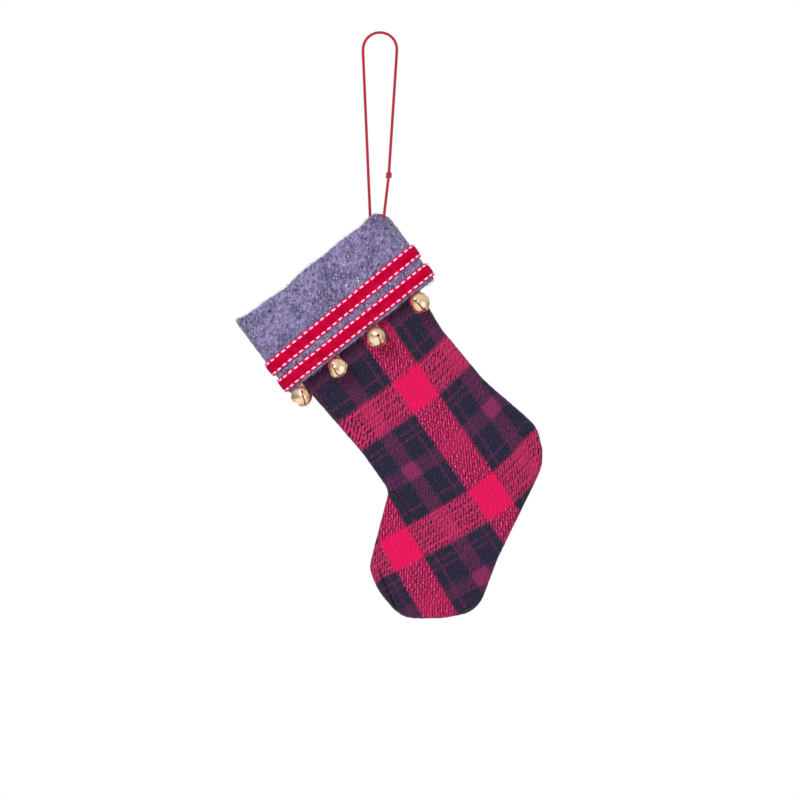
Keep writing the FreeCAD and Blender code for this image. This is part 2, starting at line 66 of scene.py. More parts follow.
MM = 0.001
TURN = 2.0 * math.pi
JOINTS = {joint["name"]: joint for joint in frame["record"]["behaviour"]["joints"]}

# The stocking's own frame hangs from the hole that the cord runs through.
TILT = math.radians(37.0)
CORD_HOLE_ACROSS = 77.5
CORD_HOLE_DOWN = 3.5
ACROSS = np.array([math.cos(TILT), 0.0, math.sin(TILT)])
FORWARD = np.array([0.0, -1.0, 0.0])
DOWN = np.array([math.sin(TILT), 0.0, -math.cos(TILT)])
CORD_HOLE = np.array(JOINTS["stocking_swing"]["pos_m"]) * np.array([1.0, 0.0, 1.0])
OWN_ORIGIN = CORD_HOLE - MM * (CORD_HOLE_ACROSS * ACROSS + CORD_HOLE_DOWN * DOWN)

# leg
LEG_HALF_DEPTH = 6.3
LEG_LIMIT = 7.6             # how far from its middle the stuffed leg may reach
LEG_LIMIT_BELLS = 6.3       # the same where the bells hang in front of it
BELLS_REACH_DOWN = 56.0
BACK_FOLDS_MOVED = np.array([0.8, -1.5])
LEG_CROWN = 15.0            # how far in from the seam the leg is fully thick
LEG_MOUTH_CROWN = 8.0       # the same at the mouth, where the cuff holds it flatter
MOUTH_DOWN = 10.0
MOUTH_HELD = 4.0            # how much of the leg the mouth's seam holds still
CLOTH_GRID = 1.3
EDGE_CLEAR = 0.6            # how close to the outline the grid may come, in grid steps
CLOTH_THICKNESS = 0.8

# cuff
CUFF_LEFT = -1.4
CUFF_RIGHT = 80.0
CUFF_HALF_DEPTH = 8.8
CUFF_END_ROUND = 7.5
CUFF_CORNER_ROUND = 5.5
CUFF_TOP_LEFT = 1.0
CUFF_TOP_RIGHT = -0.8
# Waves in the felt's cut upper edge: (across, width, how far it dips).
CUFF_TOP_WAVES = [(-1.0, 3.5, -0.9), (11.0, 5.0, 0.3), (24.0, 7.0, 1.2), (47.0, 5.0, 0.4),
                  (66.0, 4.0, 0.5), (73.0, 3.0, -0.4)]
FELT_THICKNESS = 1.4
HEM_DOWN = 39.4
HEM_SLOPE = math.tan(math.radians(1.4))

# ribbons: the middle's place at the cuff's left end, and its rise to the right
RIBBONS = {"ribbon_upper": (25.9, math.tan(math.radians(2.2))),
           "ribbon_lower": (34.9, math.tan(math.radians(1.4)))}
RIBBON_WIDTH = 6.6
RIBBON_THICKNESS = 1.0
STITCH_PITCH = 3.17
STITCH_ROW = 2.5
STITCH_LENGTH = 1.85
STITCH_WIDTH = 0.85
STITCH_HEIGHT = 0.5

# bells
BELLS = 4
BELL_RADIUS = 4.5
BELL_WALL = 0.35
BELL_SLIT = 0.6
BELL_SLIT_HOLE = 1.3
# How each bell has settled: its turn about its own axis, to the side and upright.
BELL_TURNS = [(10.0, 23.0, 0.0), (65.0, 11.0, 0.0), (10.0, 24.0, 20.0), (78.0, 34.0, 0.0)]

CORD_DIAMETER = 1.3
KNOT_DIAMETER = 2.9
KNOT_TURNS = 2.5
SWEEP_START = (0.3, 0.9, 0.2)   # no tube starts along this direction

# The leg's outline: (across, down, corner radius), from the mouth's left end round the
# instep, toe, sole and heel to the mouth's right end.
LEG_OUTLINE = [
    (3.2, 10.0, 0.0),
    (4.7, 40.1, 40.0),
    (7.5, 80.4, 53.9),
    (6.8, 100.0, 4.0),
    (-20.6, 122.4, 10.9),
    (-23.2, 133.3, 29.1),
    (-22.0, 149.3, 14.3),
    (-7.1, 160.2, 28.5),
    (6.8, 166.9, 13.5),
    (28.0, 153.7, 35.2),
    (71.0, 131.8, 21.5),
    (77.3, 117.5, 14.5),
    (71.2, 86.1, 51.2),
    (69.9, 56.4, 42.2),
    (76.0, 10.0, 0.0),
]

# The cord's route in the row frame, in metres: knot, over the twig, into the cuff's
# mouth, forward through the felt and back to the knot.
KNOT_AT = (0.0039, -0.0066, -0.0622)
CORD_ROUTE = [
    KNOT_AT,
    (0.00714, -0.0009, -0.01193),
    (0.00765, 0.0, -0.004),
    (0.0032, 0.0, 0.00065),
    (-0.0032, 0.0, 0.00065),
    (-0.00765, 0.0, -0.004),
    (-0.0073, 0.00016, -0.01199),
    (-0.00455, 0.00144, -0.0754),
    (-0.0042, 0.0016, -0.0834),
    (0.0016, -0.0002, -0.0819),
    (0.0016, -0.0094, -0.0819),
    KNOT_AT,
]


# ---------------------------------------------------------------- places and meshes

def own(points):
    """Points of the stocking's own frame, in millimetres, as points of the row frame."""
    points = np.asarray(points, float).reshape(-1, 3)
    axes = np.array([ACROSS, FORWARD, DOWN])
    return OWN_ORIGIN + MM * points @ axes


def add_object(name, data):
    thing = bpy.data.objects.new(name, data)
    bpy.context.scene.collection.objects.link(thing)
    return thing


def shade_smooth(mesh, smooth=True):
    mesh.polygons.foreach_set("use_smooth", [smooth] * len(mesh.polygons))


def add_mesh(name, points, faces, material, smooth=True):
    mesh = bpy.data.meshes.new(name)
    mesh.from_pydata(np.asarray(points).tolist(), [], [tuple(int(i) for i in f) for f in faces])
    mesh.validate()
    mesh.update()
    shade_smooth(mesh, smooth)
    mesh.materials.append(material)
    return add_object(name, mesh)


def store(piece, name, values):
    """Keeps a vector for each vertex, for the piece's material."""
    attribute = piece.data.attributes.new(name, "FLOAT_VECTOR", "POINT")
    attribute.data.foreach_set("vector", np.asarray(values, np.float32).ravel())


def grid_faces(rows, columns, closed_rows=False, closed_columns=False):
    """Quads of a grid whose point (row, column) is number row * columns + column."""
    faces = []
    for row in range(rows if closed_rows else rows - 1):
        for column in range(columns if closed_columns else columns - 1):
            next_row = (row + 1) % rows
            next_column = (column + 1) % columns
            faces.append((row * columns + column, row * columns + next_column,
                          next_row * columns + next_column, next_row * columns + column))
    return faces


def outward(piece):
    """Turns every face of a closed mesh outwards."""
    mesh = bmesh.new()
    mesh.from_mesh(piece.data)
    bmesh.ops.recalc_face_normals(mesh, faces=mesh.faces)
    mesh.to_mesh(piece.data)
    mesh.free()


def subdivide(piece):
    modifier = piece.modifiers.new("smooth", "SUBSURF")
    modifier.levels = 1
    modifier.render_levels = 1


def wander(point, scale, seed=0.0):
    """Smooth noise from -1 to 1 at a point in millimetres; scale is its wavelength."""
    return noise.noise(Vector(point) / scale + Vector((seed, 2.0 * seed, -seed)))


def ease(low, high, value):
    """Rises smoothly from 0 at low to 1 at high."""
    share = np.clip((value - low) / (high - low), 0.0, 1.0)
    return share * share * (3.0 - 2.0 * share)


def rounded_outline(corners, spacing):
    """Points about one spacing apart along straight runs joined by tangent arcs."""
    count = len(corners)
    runs = []
    for index, (across, down, radius) in enumerate(corners):
        here = np.array([across, down])
        before = here - np.array(corners[index - 1][:2])
        after = np.array(corners[(index + 1) % count][:2]) - here
        before /= np.linalg.norm(before)
        after /= np.linalg.norm(after)
        half_turn = math.acos(np.clip(before @ after, -1.0, 1.0)) / 2.0
        reach = radius * math.tan(half_turn)
        bisector = after - before
        bisector /= np.linalg.norm(bisector)
        centre = here + bisector * radius / math.cos(half_turn)
        steps = max(1, round(2.0 * half_turn * radius / spacing))
        start = here - before * reach - centre
        side = np.sign(before[0] * after[1] - before[1] * after[0])
        arc = []
        for step in range(steps + 1 if radius > 0 else 1):
            turn = side * 2.0 * half_turn * step / steps
            arc.append(centre + np.array([start[0] * math.cos(turn) - start[1] * math.sin(turn),
                                          start[0] * math.sin(turn) + start[1] * math.cos(turn)]))
        runs.append(arc)
    points = []
    for index, arc in enumerate(runs):
        points += arc
        following = runs[(index + 1) % count][0]
        gap = np.linalg.norm(following - arc[-1])
        steps = max(1, round(gap / spacing))
        points += [arc[-1] + (following - arc[-1]) * step / steps for step in range(1, steps)]
    return np.array(points)


def directions(line):
    """The unit tangent at each point of a line."""
    along = np.gradient(line, axis=0)
    return along / np.linalg.norm(along, axis=1)[:, None]


def carried(along, normal):
    """Normals and binormals that don't twist round a line with these tangents."""
    normals = []
    for direction in along:
        normal = normal - direction * (normal @ direction)
        normal /= np.linalg.norm(normal)
        normals.append(normal)
    normals = np.array(normals)
    return normals, np.cross(along, normals)


def sweep(path, radius, sides, taper=None):
    """Points and faces of a closed round tube along a path."""
    path = np.asarray(path, float)
    along = directions(path)
    normal = np.cross(along[0], SWEEP_START)
    normals, binormals = carried(along, normal / np.linalg.norm(normal))
    points = []
    for index, place in enumerate(path):
        reach = radius if taper is None else radius * taper[index]
        for side in range(sides):
            turn = TURN * side / sides
            spoke = math.cos(turn) * normals[index] + math.sin(turn) * binormals[index]
            points.append(place + reach * spoke)
    faces = grid_faces(len(path), sides, closed_columns=True)
    faces.append(tuple(range(sides))[::-1])
    faces.append(tuple(len(points) - sides + side for side in range(sides)))
    return points, faces


def join_parts(parts):
    """One list of points and faces from several."""
    points = []
    faces = []
    for part_points, part_faces in parts:
        offset = len(points)
        points += list(part_points)
        faces += [tuple(index + offset for index in face) for face in part_faces]
    return points, faces


def add_own(name, parts, material):
    """One piece from several parts whose points are in the stocking's own frame."""
    points, faces = join_parts(parts)
    return add_mesh(name, own(points), faces, material)


# ---------------------------------------------------------------- materials

def linear(red, green, blue):
    """An sRGB colour from 0 to 255 as Blender's linear colour."""
    values = [channel / 255.0 for channel in (red, green, blue)]
    return tuple(v / 12.92 if v <= 0.04045 else ((v + 0.055) / 1.055) ** 2.4
                 for v in values) + (1.0,)


class Value:
    """What one node gives out, with ordinary arithmetic."""

    def __init__(self, nodes, socket):
        self.nodes = nodes
        self.socket = socket

    def __add__(self, other):
        return self.nodes.math("ADD", self, other)

    def __sub__(self, other):
        return self.nodes.math("SUBTRACT", self, other)

    def __mul__(self, other):
        return self.nodes.math("MULTIPLY", self, other)

    def __abs__(self):
        return self.nodes.math("ABSOLUTE", self)

    def wave(self, pitch):
        """A sine that repeats each pitch."""
        return self.nodes.math("SINE", self * (TURN / pitch))

    def ramp(self, low, high, start=0.0, end=1.0):
        """Goes smoothly from start at low to end at high."""
        values = {"Value": self, "From Min": low, "From Max": high, "To Min": start, "To Max": end}
        return self.nodes.value("ShaderNodeMapRange", "Result", values,
                                interpolation_type="SMOOTHSTEP")

    def band(self, half, soft):
        """1 where a distance is under half, falling to 0 over the softness."""
        return self.ramp(half - soft, half + soft, 1.0, 0.0)


class Nodes:
    """A node tree and short names for what it is made of."""

    def __init__(self, tree):
        self.tree = tree

    def feed(self, socket, value):
        if isinstance(value, Value):
            self.tree.links.new(value.socket, socket)
        else:
            socket.default_value = value

    def node(self, kind, values=(), **settings):
        node = self.tree.nodes.new(kind)
        for setting, value in settings.items():
            setattr(node, setting, value)
        for socket, value in dict(values).items():
            self.feed(node.inputs[socket], value)
        return node

    def value(self, kind, output, values=(), **settings):
        return Value(self, self.node(kind, values, **settings).outputs[output])

    def math(self, operation, *values):
        return self.value("ShaderNodeMath", 0, enumerate(values), operation=operation)

    def parts(self, vector):
        """A vector's three numbers."""
        node = self.node("ShaderNodeSeparateXYZ", {0: vector})
        return [Value(self, socket) for socket in node.outputs]


class Shader(Nodes):
    """A material's nodes."""

    def __init__(self, name, **constants):
        self.material = bpy.data.materials.new(name)
        self.material.use_nodes = True
        super().__init__(self.material.node_tree)
        self.bsdf = self.tree.nodes["Principled BSDF"]
        for socket, value in constants.items():
            self.bsdf.inputs[socket.replace("_", " ")].default_value = value

    def mix(self, share, first, second):
        values = {"Factor": share, 6: first, 7: second}
        return self.value("ShaderNodeMix", 2, values, data_type="RGBA")

    def attribute(self, name):
        """The vector that store() kept for each vertex, and its three numbers."""
        vector = self.value("ShaderNodeAttribute", "Vector", attribute_name=name)
        return (vector, *self.parts(vector))

    def place(self):
        """The rest position in millimetres."""
        values = {0: self.value("ShaderNodeTexCoord", "Object"), "Scale": 1.0 / MM}
        return self.value("ShaderNodeVectorMath", "Vector", values, operation="SCALE")

    def noise(self, vector, wavelength, detail=2.0, roughness=0.5, distortion=0.0):
        values = {"Vector": vector, "Scale": 1.0 / wavelength, "Detail": detail,
                  "Roughness": roughness, "Distortion": distortion}
        return self.value("ShaderNodeTexNoise", "Fac", values)

    def stretched(self, vector, scale):
        return self.value("ShaderNodeMapping", "Vector", {"Vector": vector, "Scale": scale})

    def finished(self, colour, roughness, height=None, depth_mm=0.0, strength=1.0):
        """The material, with a bump if it is given a height."""
        if height is not None:
            values = {"Height": height, "Distance": depth_mm * MM, "Strength": strength}
            self.feed(self.bsdf.inputs["Normal"], self.value("ShaderNodeBump", "Normal", values))
        self.feed(self.bsdf.inputs["Base Color"], colour)
        self.feed(self.bsdf.inputs["Roughness"], roughness)
        return self.material


# The plaid repeats across and down; these are its stripes' places in one repeat.
WARP_REPEAT = 45.3
WARP_RED_HALF = 6.9
WARP_LINE_AT = 11.05
WARP_PURPLE_FROM = 19.35
WEFT_REPEAT = 58.1
WEFT_RED_HALF = 8.25
WEFT_LINES_AT = (-13.6, 13.2, 16.4)
WEFT_PURPLE_FROM = 25.6
TWILL_ACROSS = 1.35         # the twill's pitch across the cloth and down it
TWILL_DOWN = 2.33


def plaid_material():
    """Brushed flannel in a red, purple and near-black twill plaid."""
    shader = Shader("plaid_flannel", Sheen_Weight=0.3, Sheen_Roughness=0.4,
                    Sheen_Tint=(0.8, 0.74, 1.0, 1.0), Specular_IOR_Level=0.08)
    vector, across, down, fold = shader.attribute("cloth")
    yarn = shader.noise(vector, 1.3, 3.0, 0.6)
    fine = shader.noise(vector, 0.85, 2.0, 0.65)
    patches = shader.noise(vector, 5.0, 2.0, 0.5)
    grain = (fine - 0.5) * 5.2

    # Twill: steep diagonal floats of warp, broken into short strokes.
    diagonal = across * (1.0 / TWILL_ACROSS) + down * (1.0 / TWILL_DOWN) + (yarn - 0.5) * 1.1
    wave = diagonal.wave(1.0)
    number = shader.math("FLOOR", diagonal + 0.25)
    breaks = shader.math("SINE", down * (TURN / 4.6) + number * 2.3 + patches * 9.0)
    stroke = wave * 0.9 + breaks * 0.4 + grain
    warp_on_top = stroke.ramp(-0.9, 0.6)
    picks = (down + yarn * 1.2).wave(2.2) * 0.32 + down.wave(3.9) * 0.22
    weft_on_top = (picks + (stroke * -0.95 + patches * 0.6)).ramp(-0.7, 1.15)

    # The stripes, whose edges step from float to float.
    drift = (yarn - 0.5) * 2.0 + wave * 0.3
    warp_at = shader.math("WRAP", across + drift, WARP_REPEAT / 2, -WARP_REPEAT / 2)
    weft_at = shader.math("WRAP", down + drift, WEFT_REPEAT / 2, -WEFT_REPEAT / 2)
    warp_off = abs(warp_at)
    weft_off = abs(weft_at)
    warp_red = warp_off.band(WARP_RED_HALF, 0.75)
    weft_red = weft_off.band(WEFT_RED_HALF, 1.1)
    lines = abs(warp_off - WARP_LINE_AT).band(0.36, 0.5)
    for place in WEFT_LINES_AT:
        lines = shader.math("MAXIMUM", lines, abs(weft_at - place).band(0.36, 0.5))
    warp_purple = warp_off.ramp(WARP_PURPLE_FROM - 0.9, WARP_PURPLE_FROM + 0.7)
    weft_purple = weft_off.ramp(WEFT_PURPLE_FROM - 0.9, WEFT_PURPLE_FROM + 0.7)
    both_purple = warp_purple * weft_purple

    # The ground and its purple bands and thin lines.
    ground = shader.mix(grain.ramp(-1.0, 1.0), linear(27, 26, 42), linear(50, 47, 69))
    bands = warp_purple * (warp_on_top * 0.75) + weft_purple * (weft_on_top * 0.62)
    bands = shader.math("MINIMUM", bands + both_purple * 0.3, 1.0)
    ground = shader.mix(bands, ground, linear(118, 43, 86))
    ground = shader.mix(both_purple * warp_on_top * 0.5, ground, linear(168, 48, 100))
    lines = lines * fine.ramp(0.38, 0.56, 0.15, 0.9)
    ground = shader.mix(lines, ground, linear(108, 43, 80))

    # The red rows, the red columns over them and the bright squares where they cross.
    row = shader.mix(weft_on_top, linear(54, 22, 46), linear(214, 50, 104))
    row = shader.mix(warp_purple * 0.35, row, linear(204, 48, 102))
    woven = shader.mix(weft_red, ground, row)
    column = shader.mix(warp_on_top, linear(58, 20, 46), linear(212, 36, 96))
    # Pink painted highlights on the crests of the twill strokes in the red columns.
    painted_highlights = stroke.ramp(0.6, 1.6) * yarn.ramp(0.42, 0.6, 0.1, 0.8)
    column = shader.mix(painted_highlights, column, linear(255, 116, 164))
    column = shader.mix(weft_purple * 0.35, column, linear(196, 34, 92))
    woven = shader.mix(warp_red, woven, column)
    square = shader.mix(yarn.ramp(0.35, 0.65), linear(240, 8, 80), linear(254, 14, 90))
    square = shader.mix(stroke.ramp(-1.3, 0.1, 0.65, 0.0), square, linear(140, 30, 92))
    square = shader.mix(yarn.ramp(0.52, 0.62, 0.0, 0.4), square, linear(168, 36, 104))
    woven = shader.mix(warp_red * weft_red, woven, square)

    # The brushed nap, pale lint and the shade in the folds.
    nap = shader.noise(shader.stretched(vector, (1.0, 0.4, 1.0)), 0.6, 3.0, 0.7)
    woven = shader.mix(nap.ramp(0.35, 0.7, 0.0, 0.22), woven, linear(34, 28, 52))
    lint = shader.noise(vector, 0.7, 1.0).ramp(0.71, 0.77, 0.0, 0.6)
    woven = shader.mix(lint, woven, linear(176, 110, 150))
    woven = shader.mix(fold * 0.6, woven, linear(20, 12, 24))
    height = warp_on_top * 0.5 + nap * 0.9
    return shader.finished(woven, nap.ramp(0.2, 0.8, 0.84, 0.98), height, 0.17, 0.85)


def felt_material():
    """Heather felt: lavender grey wool mottled with dark specks and pale flecks."""
    shader = Shader("heather_felt", Sheen_Weight=0.12, Sheen_Roughness=0.6,
                    Specular_IOR_Level=0.1)
    place = shader.place()
    clouds = shader.noise(place, 6.0, 3.0, 0.6)
    tufts = shader.noise(place, 2.2, 3.0, 0.65, 0.5)
    specks = shader.noise(place, 1.15, 2.0, 0.65, 0.4)
    fibres = shader.noise(shader.stretched(place, (1.0, 1.0, 0.5)), 0.8, 2.0, 0.6, 1.0)
    felt = shader.mix(clouds.ramp(0.35, 0.65), linear(99, 92, 129), linear(139, 129, 171))
    felt = shader.mix(tufts.ramp(0.45, 0.66, 0.0, 0.8), felt, linear(72, 65, 98))
    felt = shader.mix(specks.ramp(0.53, 0.66, 0.0, 0.8), felt, linear(50, 44, 74))
    felt = shader.mix(fibres.ramp(0.5, 0.66, 0.0, 0.8), felt, linear(170, 158, 198))
    white = shader.noise(place, 0.9, 0.0).ramp(0.76, 0.83, 0.0, 0.9)
    felt = shader.mix(white, felt, linear(228, 220, 240))
    return shader.finished(felt, 0.97, tufts + fibres * 0.6, 0.6, 0.9)


def ribbon_material():
    """Velvet in the middle, a ribbed satin edge on each side."""
    shader = Shader("stitched_ribbon", Specular_IOR_Level=0.06)
    vector, along, width, _ = shader.attribute("cloth")
    side = abs(width)
    edge = side.ramp(1.6, 1.9)
    pile = shader.noise(shader.stretched(vector, (0.6, 1.0, 1.0)), 0.35, 3.0, 0.7)
    shade = shader.noise(vector, 4.5, 2.0, 0.5)
    velvet = shader.mix(pile.ramp(0.3, 0.7), linear(142, 0, 36), linear(190, 0, 52))
    velvet = shader.mix(shade.ramp(0.35, 0.7, 0.0, 0.7), velvet, linear(214, 0, 60))
    # Painted shade: a thin dark line where the velvet steps down into the groove by each satin
    # edge.
    painted_groove_shade = abs(side - 1.75).band(0.12, 0.12)
    ribs = along.wave(0.42)
    satin = shader.mix(ribs.ramp(-1.0, 1.0), linear(210, 0, 62), linear(240, 2, 88))
    weave = shader.mix(edge, velvet, satin)
    weave = shader.mix(painted_groove_shade * 0.5, weave, linear(128, 0, 26))
    height = edge * (ribs * 0.4) + shader.math("SUBTRACT", 1.0, edge) * pile
    return shader.finished(weave, edge.ramp(0.0, 1.0, 0.9, 0.6), height, 0.12, 0.7)


def thread_material(name, colour, shade, pitch):
    """Twisted thread: fine slanting plies of one colour."""
    shader = Shader(name, Sheen_Weight=0.15, Specular_IOR_Level=0.4)
    place = shader.place()
    across, deep, up = shader.parts(place)
    plies = (across + deep + up).wave(pitch)
    fuzz = shader.noise(place, 0.3)
    share = (plies + fuzz * 0.6).ramp(-0.8, 1.2)
    return shader.finished(shader.mix(share, shade, colour), 0.6, share, 0.06, 0.6)


def brass_material():
    """Pale gilt brass, pressed smooth, with faint handling marks."""
    shader = Shader("gilt_brass", Metallic=1.0, Specular_Tint=(0.34, 0.22, 0.14, 1.0))
    place = shader.place()
    wear = shader.noise(place, 3.2)
    grain = shader.noise(place, 0.5)
    gilt = shader.mix(wear.ramp(0.35, 0.7), linear(255, 224, 190), linear(250, 208, 168))
    roughness = wear.ramp(0.3, 0.75, 0.22, 0.32) + grain * 0.05
    return shader.finished(gilt, roughness, wear, 0.03, 0.25)


def steel_material():
    shader = Shader("pellet_steel", Metallic=1.0)
    scuffs = shader.noise(shader.place(), 0.5, 3.0, 0.6)
    steel = shader.mix(scuffs, linear(150, 150, 154), linear(196, 196, 200))
    return shader.finished(steel, scuffs.ramp(0.3, 0.7, 0.25, 0.5), scuffs, 0.02, 0.5)


def floor_material():
    shader = Shader("pale_floor", Specular_IOR_Level=0.1)
    clouds = shader.noise(shader.place(), 60.0)
    pale = shader.mix(clouds, (0.86, 0.86, 0.86, 1.0), (0.9, 0.9, 0.9, 1.0))
    return shader.finished(pale, 0.95)


# ---------------------------------------------------------------- camera and cord

VIEW_WIDTH = 0.352
VIEW_CENTRE = (0.0088, -0.16104)
LENS = 200.0
SENSOR = 36.0


def make_camera():
    """A long lens, level with the object and square to its front."""
    data = bpy.data.cameras.new("camera")
    data.lens = LENS
    data.sensor_width = SENSOR
    data.clip_end = 20.0
    camera = add_object("camera", data)
    camera.location = (VIEW_CENTRE[0], -VIEW_WIDTH * LENS / SENSOR, VIEW_CENTRE[1])
    camera.rotation_euler = (math.radians(90.0), 0.0, 0.0)
    bpy.context.scene.camera = camera


CORD_STRANDS = 3
CORD_LAY = 3.4 * MM         # one full twist of the strands
CORD_STEP = 0.22 * MM
STRAND_SWELL = 1.08         # lets the strands press into each other


def route_line(points):
    """The smooth line of a cord: a NURBS spline with the route's points."""
    curve = bpy.data.curves.new("cord_route", "CURVE")
    curve.dimensions = "3D"
    curve.resolution_u = 48
    spline = curve.splines.new("NURBS")
    spline.points.add(len(points) - 1)
    for point, place in zip(spline.points, points):
        point.co = (*place, 1.0)
    spline.order_u = 3
    spline.use_endpoint_u = True
    holder = add_object("cord_route", curve)
    bpy.context.view_layer.update()
    mesh = bpy.data.meshes.new_from_object(holder)
    line = np.array([vertex.co for vertex in mesh.vertices], float)
    bpy.data.objects.remove(holder)
    bpy.data.meshes.remove(mesh)
    return line


def even_steps(line, step):
    """The same line with points about one step apart."""
    lengths = np.linalg.norm(np.diff(line, axis=0), axis=1)
    line = line[np.concatenate([[True], lengths > 1e-9])]
    travelled = np.concatenate([[0.0], np.cumsum(np.linalg.norm(np.diff(line, axis=0), axis=1))])
    count = int(travelled[-1] / step)
    wanted = np.linspace(0.0, travelled[-1], count)
    return np.stack([np.interp(wanted, travelled, line[:, axis]) for axis in range(3)], axis=1)


def make_cord(material):
    """Three strands laid round the route."""
    line = even_steps(route_line(CORD_ROUTE), CORD_STEP)
    travelled = CORD_STEP * np.arange(len(line))
    strand_radius = CORD_DIAMETER * MM / 2.0 * 0.5
    offset = CORD_DIAMETER * MM / 2.0 - strand_radius
    normals, binormals = carried(directions(line), np.array([0.0, 1.0, 0.0]))
    parts = []
    for strand in range(CORD_STRANDS):
        turn = TURN * (travelled / CORD_LAY + strand / CORD_STRANDS)
        path = line + offset * (np.cos(turn)[:, None] * normals + np.sin(turn)[:, None] * binormals)
        parts.append(sweep(path, strand_radius * STRAND_SWELL, 8))
    points, faces = join_parts(parts)
    return add_mesh("cord_loop", points, faces, material), line


def make_knot(material):
    """A tight round knot of wrapped cord, with the cord's two trimmed ends."""
    cord = 0.5                          # the pulled-tight cord's radius
    reach = KNOT_DIAMETER / 2.0 - cord
    wraps = []
    for step in range(150):
        share = step / 149.0
        polar = math.radians(24.0 + 132.0 * share)
        turn = TURN * KNOT_TURNS * share
        ring = reach * math.sin(polar)
        wraps.append((ring * math.cos(turn), ring * math.sin(turn), reach * math.cos(polar)))
    parts = [sweep(wraps, cord, 10)]
    core = [(0.0, 0.0, height) for height in np.linspace(-1.1, 1.1, 9)]
    parts.append(sweep(core, 0.95, 12, [0.3, 0.6, 0.85, 0.97, 1.0, 0.97, 0.85, 0.6, 0.3]))
    for side, slant in ((1.0, 0.5), (-1.0, -0.2)):
        tail = [(0.3 * side, 0.3 * slant, -0.7 + 0.2 * side),
                (0.8 * side, 0.5 * slant, -1.0),
                (1.25 * side, 0.8 * slant, -1.25)]
        parts.append(sweep(even_steps(np.array(tail), 0.2), 0.36, 8))
    points, faces = join_parts(parts)
    along = (Vector(CORD_ROUTE[1]) - Vector(CORD_ROUTE[-2])).normalized()
    turn = along.to_track_quat("Z", "Y").to_matrix()
    centre = Vector(KNOT_AT)
    placed = [centre + turn @ (Vector(point) * MM) for point in points]
    return add_mesh("cord_knot_tied", [tuple(place) for place in placed], faces, material)


# ---------------------------------------------------------------- leg

def distance_to(points, start, end):
    """How far points of the plane are from a run."""
    run = end - start
    share = np.clip(((points - start) @ run) / max(run @ run, 1e-9), 0.0, 1.0)
    return np.linalg.norm(points - start - share[:, None] * run, axis=1)


def fold_ends(start, end):
    """A fold's two ends and the unit direction across it."""
    start = np.array(start)
    end = np.array(end)
    run = end - start
    return start, end, np.array([run[1], -run[0]]) / np.linalg.norm(run)


def crease_points():
    """Extra points beside the sharp folds, so that the cloth can bend there."""
    extra = []
    for ends in FOLDS[:SHARP_FOLDS]:
        start, end, across = fold_ends(*ends[:2])
        length = np.linalg.norm(end - start)
        for step in range(int(length / CREASE_STEP) + 1):
            middle = start + (end - start) * step * CREASE_STEP / length
            extra += [middle + beside * across for beside in CREASE_BESIDE]
    return np.array(extra)


def leg_plan():
    """The leg's flat cut: points (the outline's first), triangles, how many points the outline
    has, and every point's distance from the seam."""
    outline = rounded_outline(LEG_OUTLINE, CLOTH_GRID)
    count = len(outline)
    runs = list(zip(outline, np.roll(outline, -1, axis=0)))
    low = outline.min(axis=0)
    high = outline.max(axis=0)
    grid = []
    row_height = CLOTH_GRID * math.sqrt(3.0) / 2.0
    for row in range(int((high[1] - low[1]) / row_height) + 1):
        shift = 0.5 * CLOTH_GRID * (row % 2)
        for column in range(int((high[0] - low[0]) / CLOTH_GRID) + 1):
            grid.append((low[0] + shift + column * CLOTH_GRID, low[1] + row * row_height))
    grid = np.array(grid)
    extra = crease_points()
    near = np.array([np.min(np.hypot(*(extra - place).T)) for place in grid])
    grid = np.vstack([grid[near > CREASE_CLEAR], extra])
    edge = np.full(len(grid), 1e9)
    inside = np.zeros(len(grid), bool)
    for start, end in runs:
        edge = np.minimum(edge, distance_to(grid, start, end))
        crosses = (start[1] > grid[:, 1]) != (end[1] > grid[:, 1])
        rise = end[1] - start[1]
        if abs(rise) > 1e-12:
            at = start[0] + (grid[:, 1] - start[1]) * (end[0] - start[0]) / rise
            inside ^= crosses & (grid[:, 0] < at)
    kept = grid[inside & (edge > EDGE_CLEAR * CLOTH_GRID)]
    points = np.vstack([outline, kept])
    result = delaunay_2d_cdt([Vector(point) for point in points], [], [list(range(count))], 1, 1e-6)
    points = np.array([tuple(vertex) for vertex in result[0]])
    triangles = [tuple(face) for face in result[2]]
    seam = np.full(len(points), 1e9)
    for start, end in runs:
        if max(start[1], end[1]) > MOUTH_DOWN + 1e-6:
            seam = np.minimum(seam, distance_to(points, start, end))
    return points, triangles, count, seam


def leg_rise(points, seam):
    """How far each side stands off the seam's plane before it is stuffed, as a share of the
    leg's half depth."""
    down = points[:, 1]
    crown = LEG_MOUTH_CROWN + (LEG_CROWN - LEG_MOUTH_CROWN) * ease(30.0, 75.0, down)
    share = np.clip(seam / crown, 0.0, 1.0)
    return np.sqrt(np.clip(1.0 - (1.0 - share) ** 2, 0.0, 1.0))


# Folds in the cloth: (start, end, depth, width), in the own frame's (across, down), with the
# sharp ones first.
FOLDS = [
    ((8.2, 114.2), (8.7, 102.8), 2.0, 0.5),
    ((8.5, 102.4), (5.6, 99.4), 1.6, 0.5),
    ((-17.3, 126.6), (-20.4, 142.5), 1.3, 0.6),
    ((4.1, 105.0), (2.9, 118.0), 0.9, 1.0),
    ((64.5, 86.0), (61.0, 100.0), 0.7, 1.7),
    ((12.0, 60.0), (9.5, 74.0), 0.45, 2.0),
    ((52.0, 142.0), (66.0, 128.0), 0.5, 2.2),
    ((20.0, 150.0), (2.0, 158.0), 0.45, 2.0),
]
SHARP_FOLDS = 3
CREASE_STEP = 0.7
CREASE_CLEAR = 0.6          # how close to a crease's own points the grid may come
CREASE_BESIDE = (-1.2, -0.6, -0.25, 0.1, 0.5, 1.0, 1.6, 2.2)


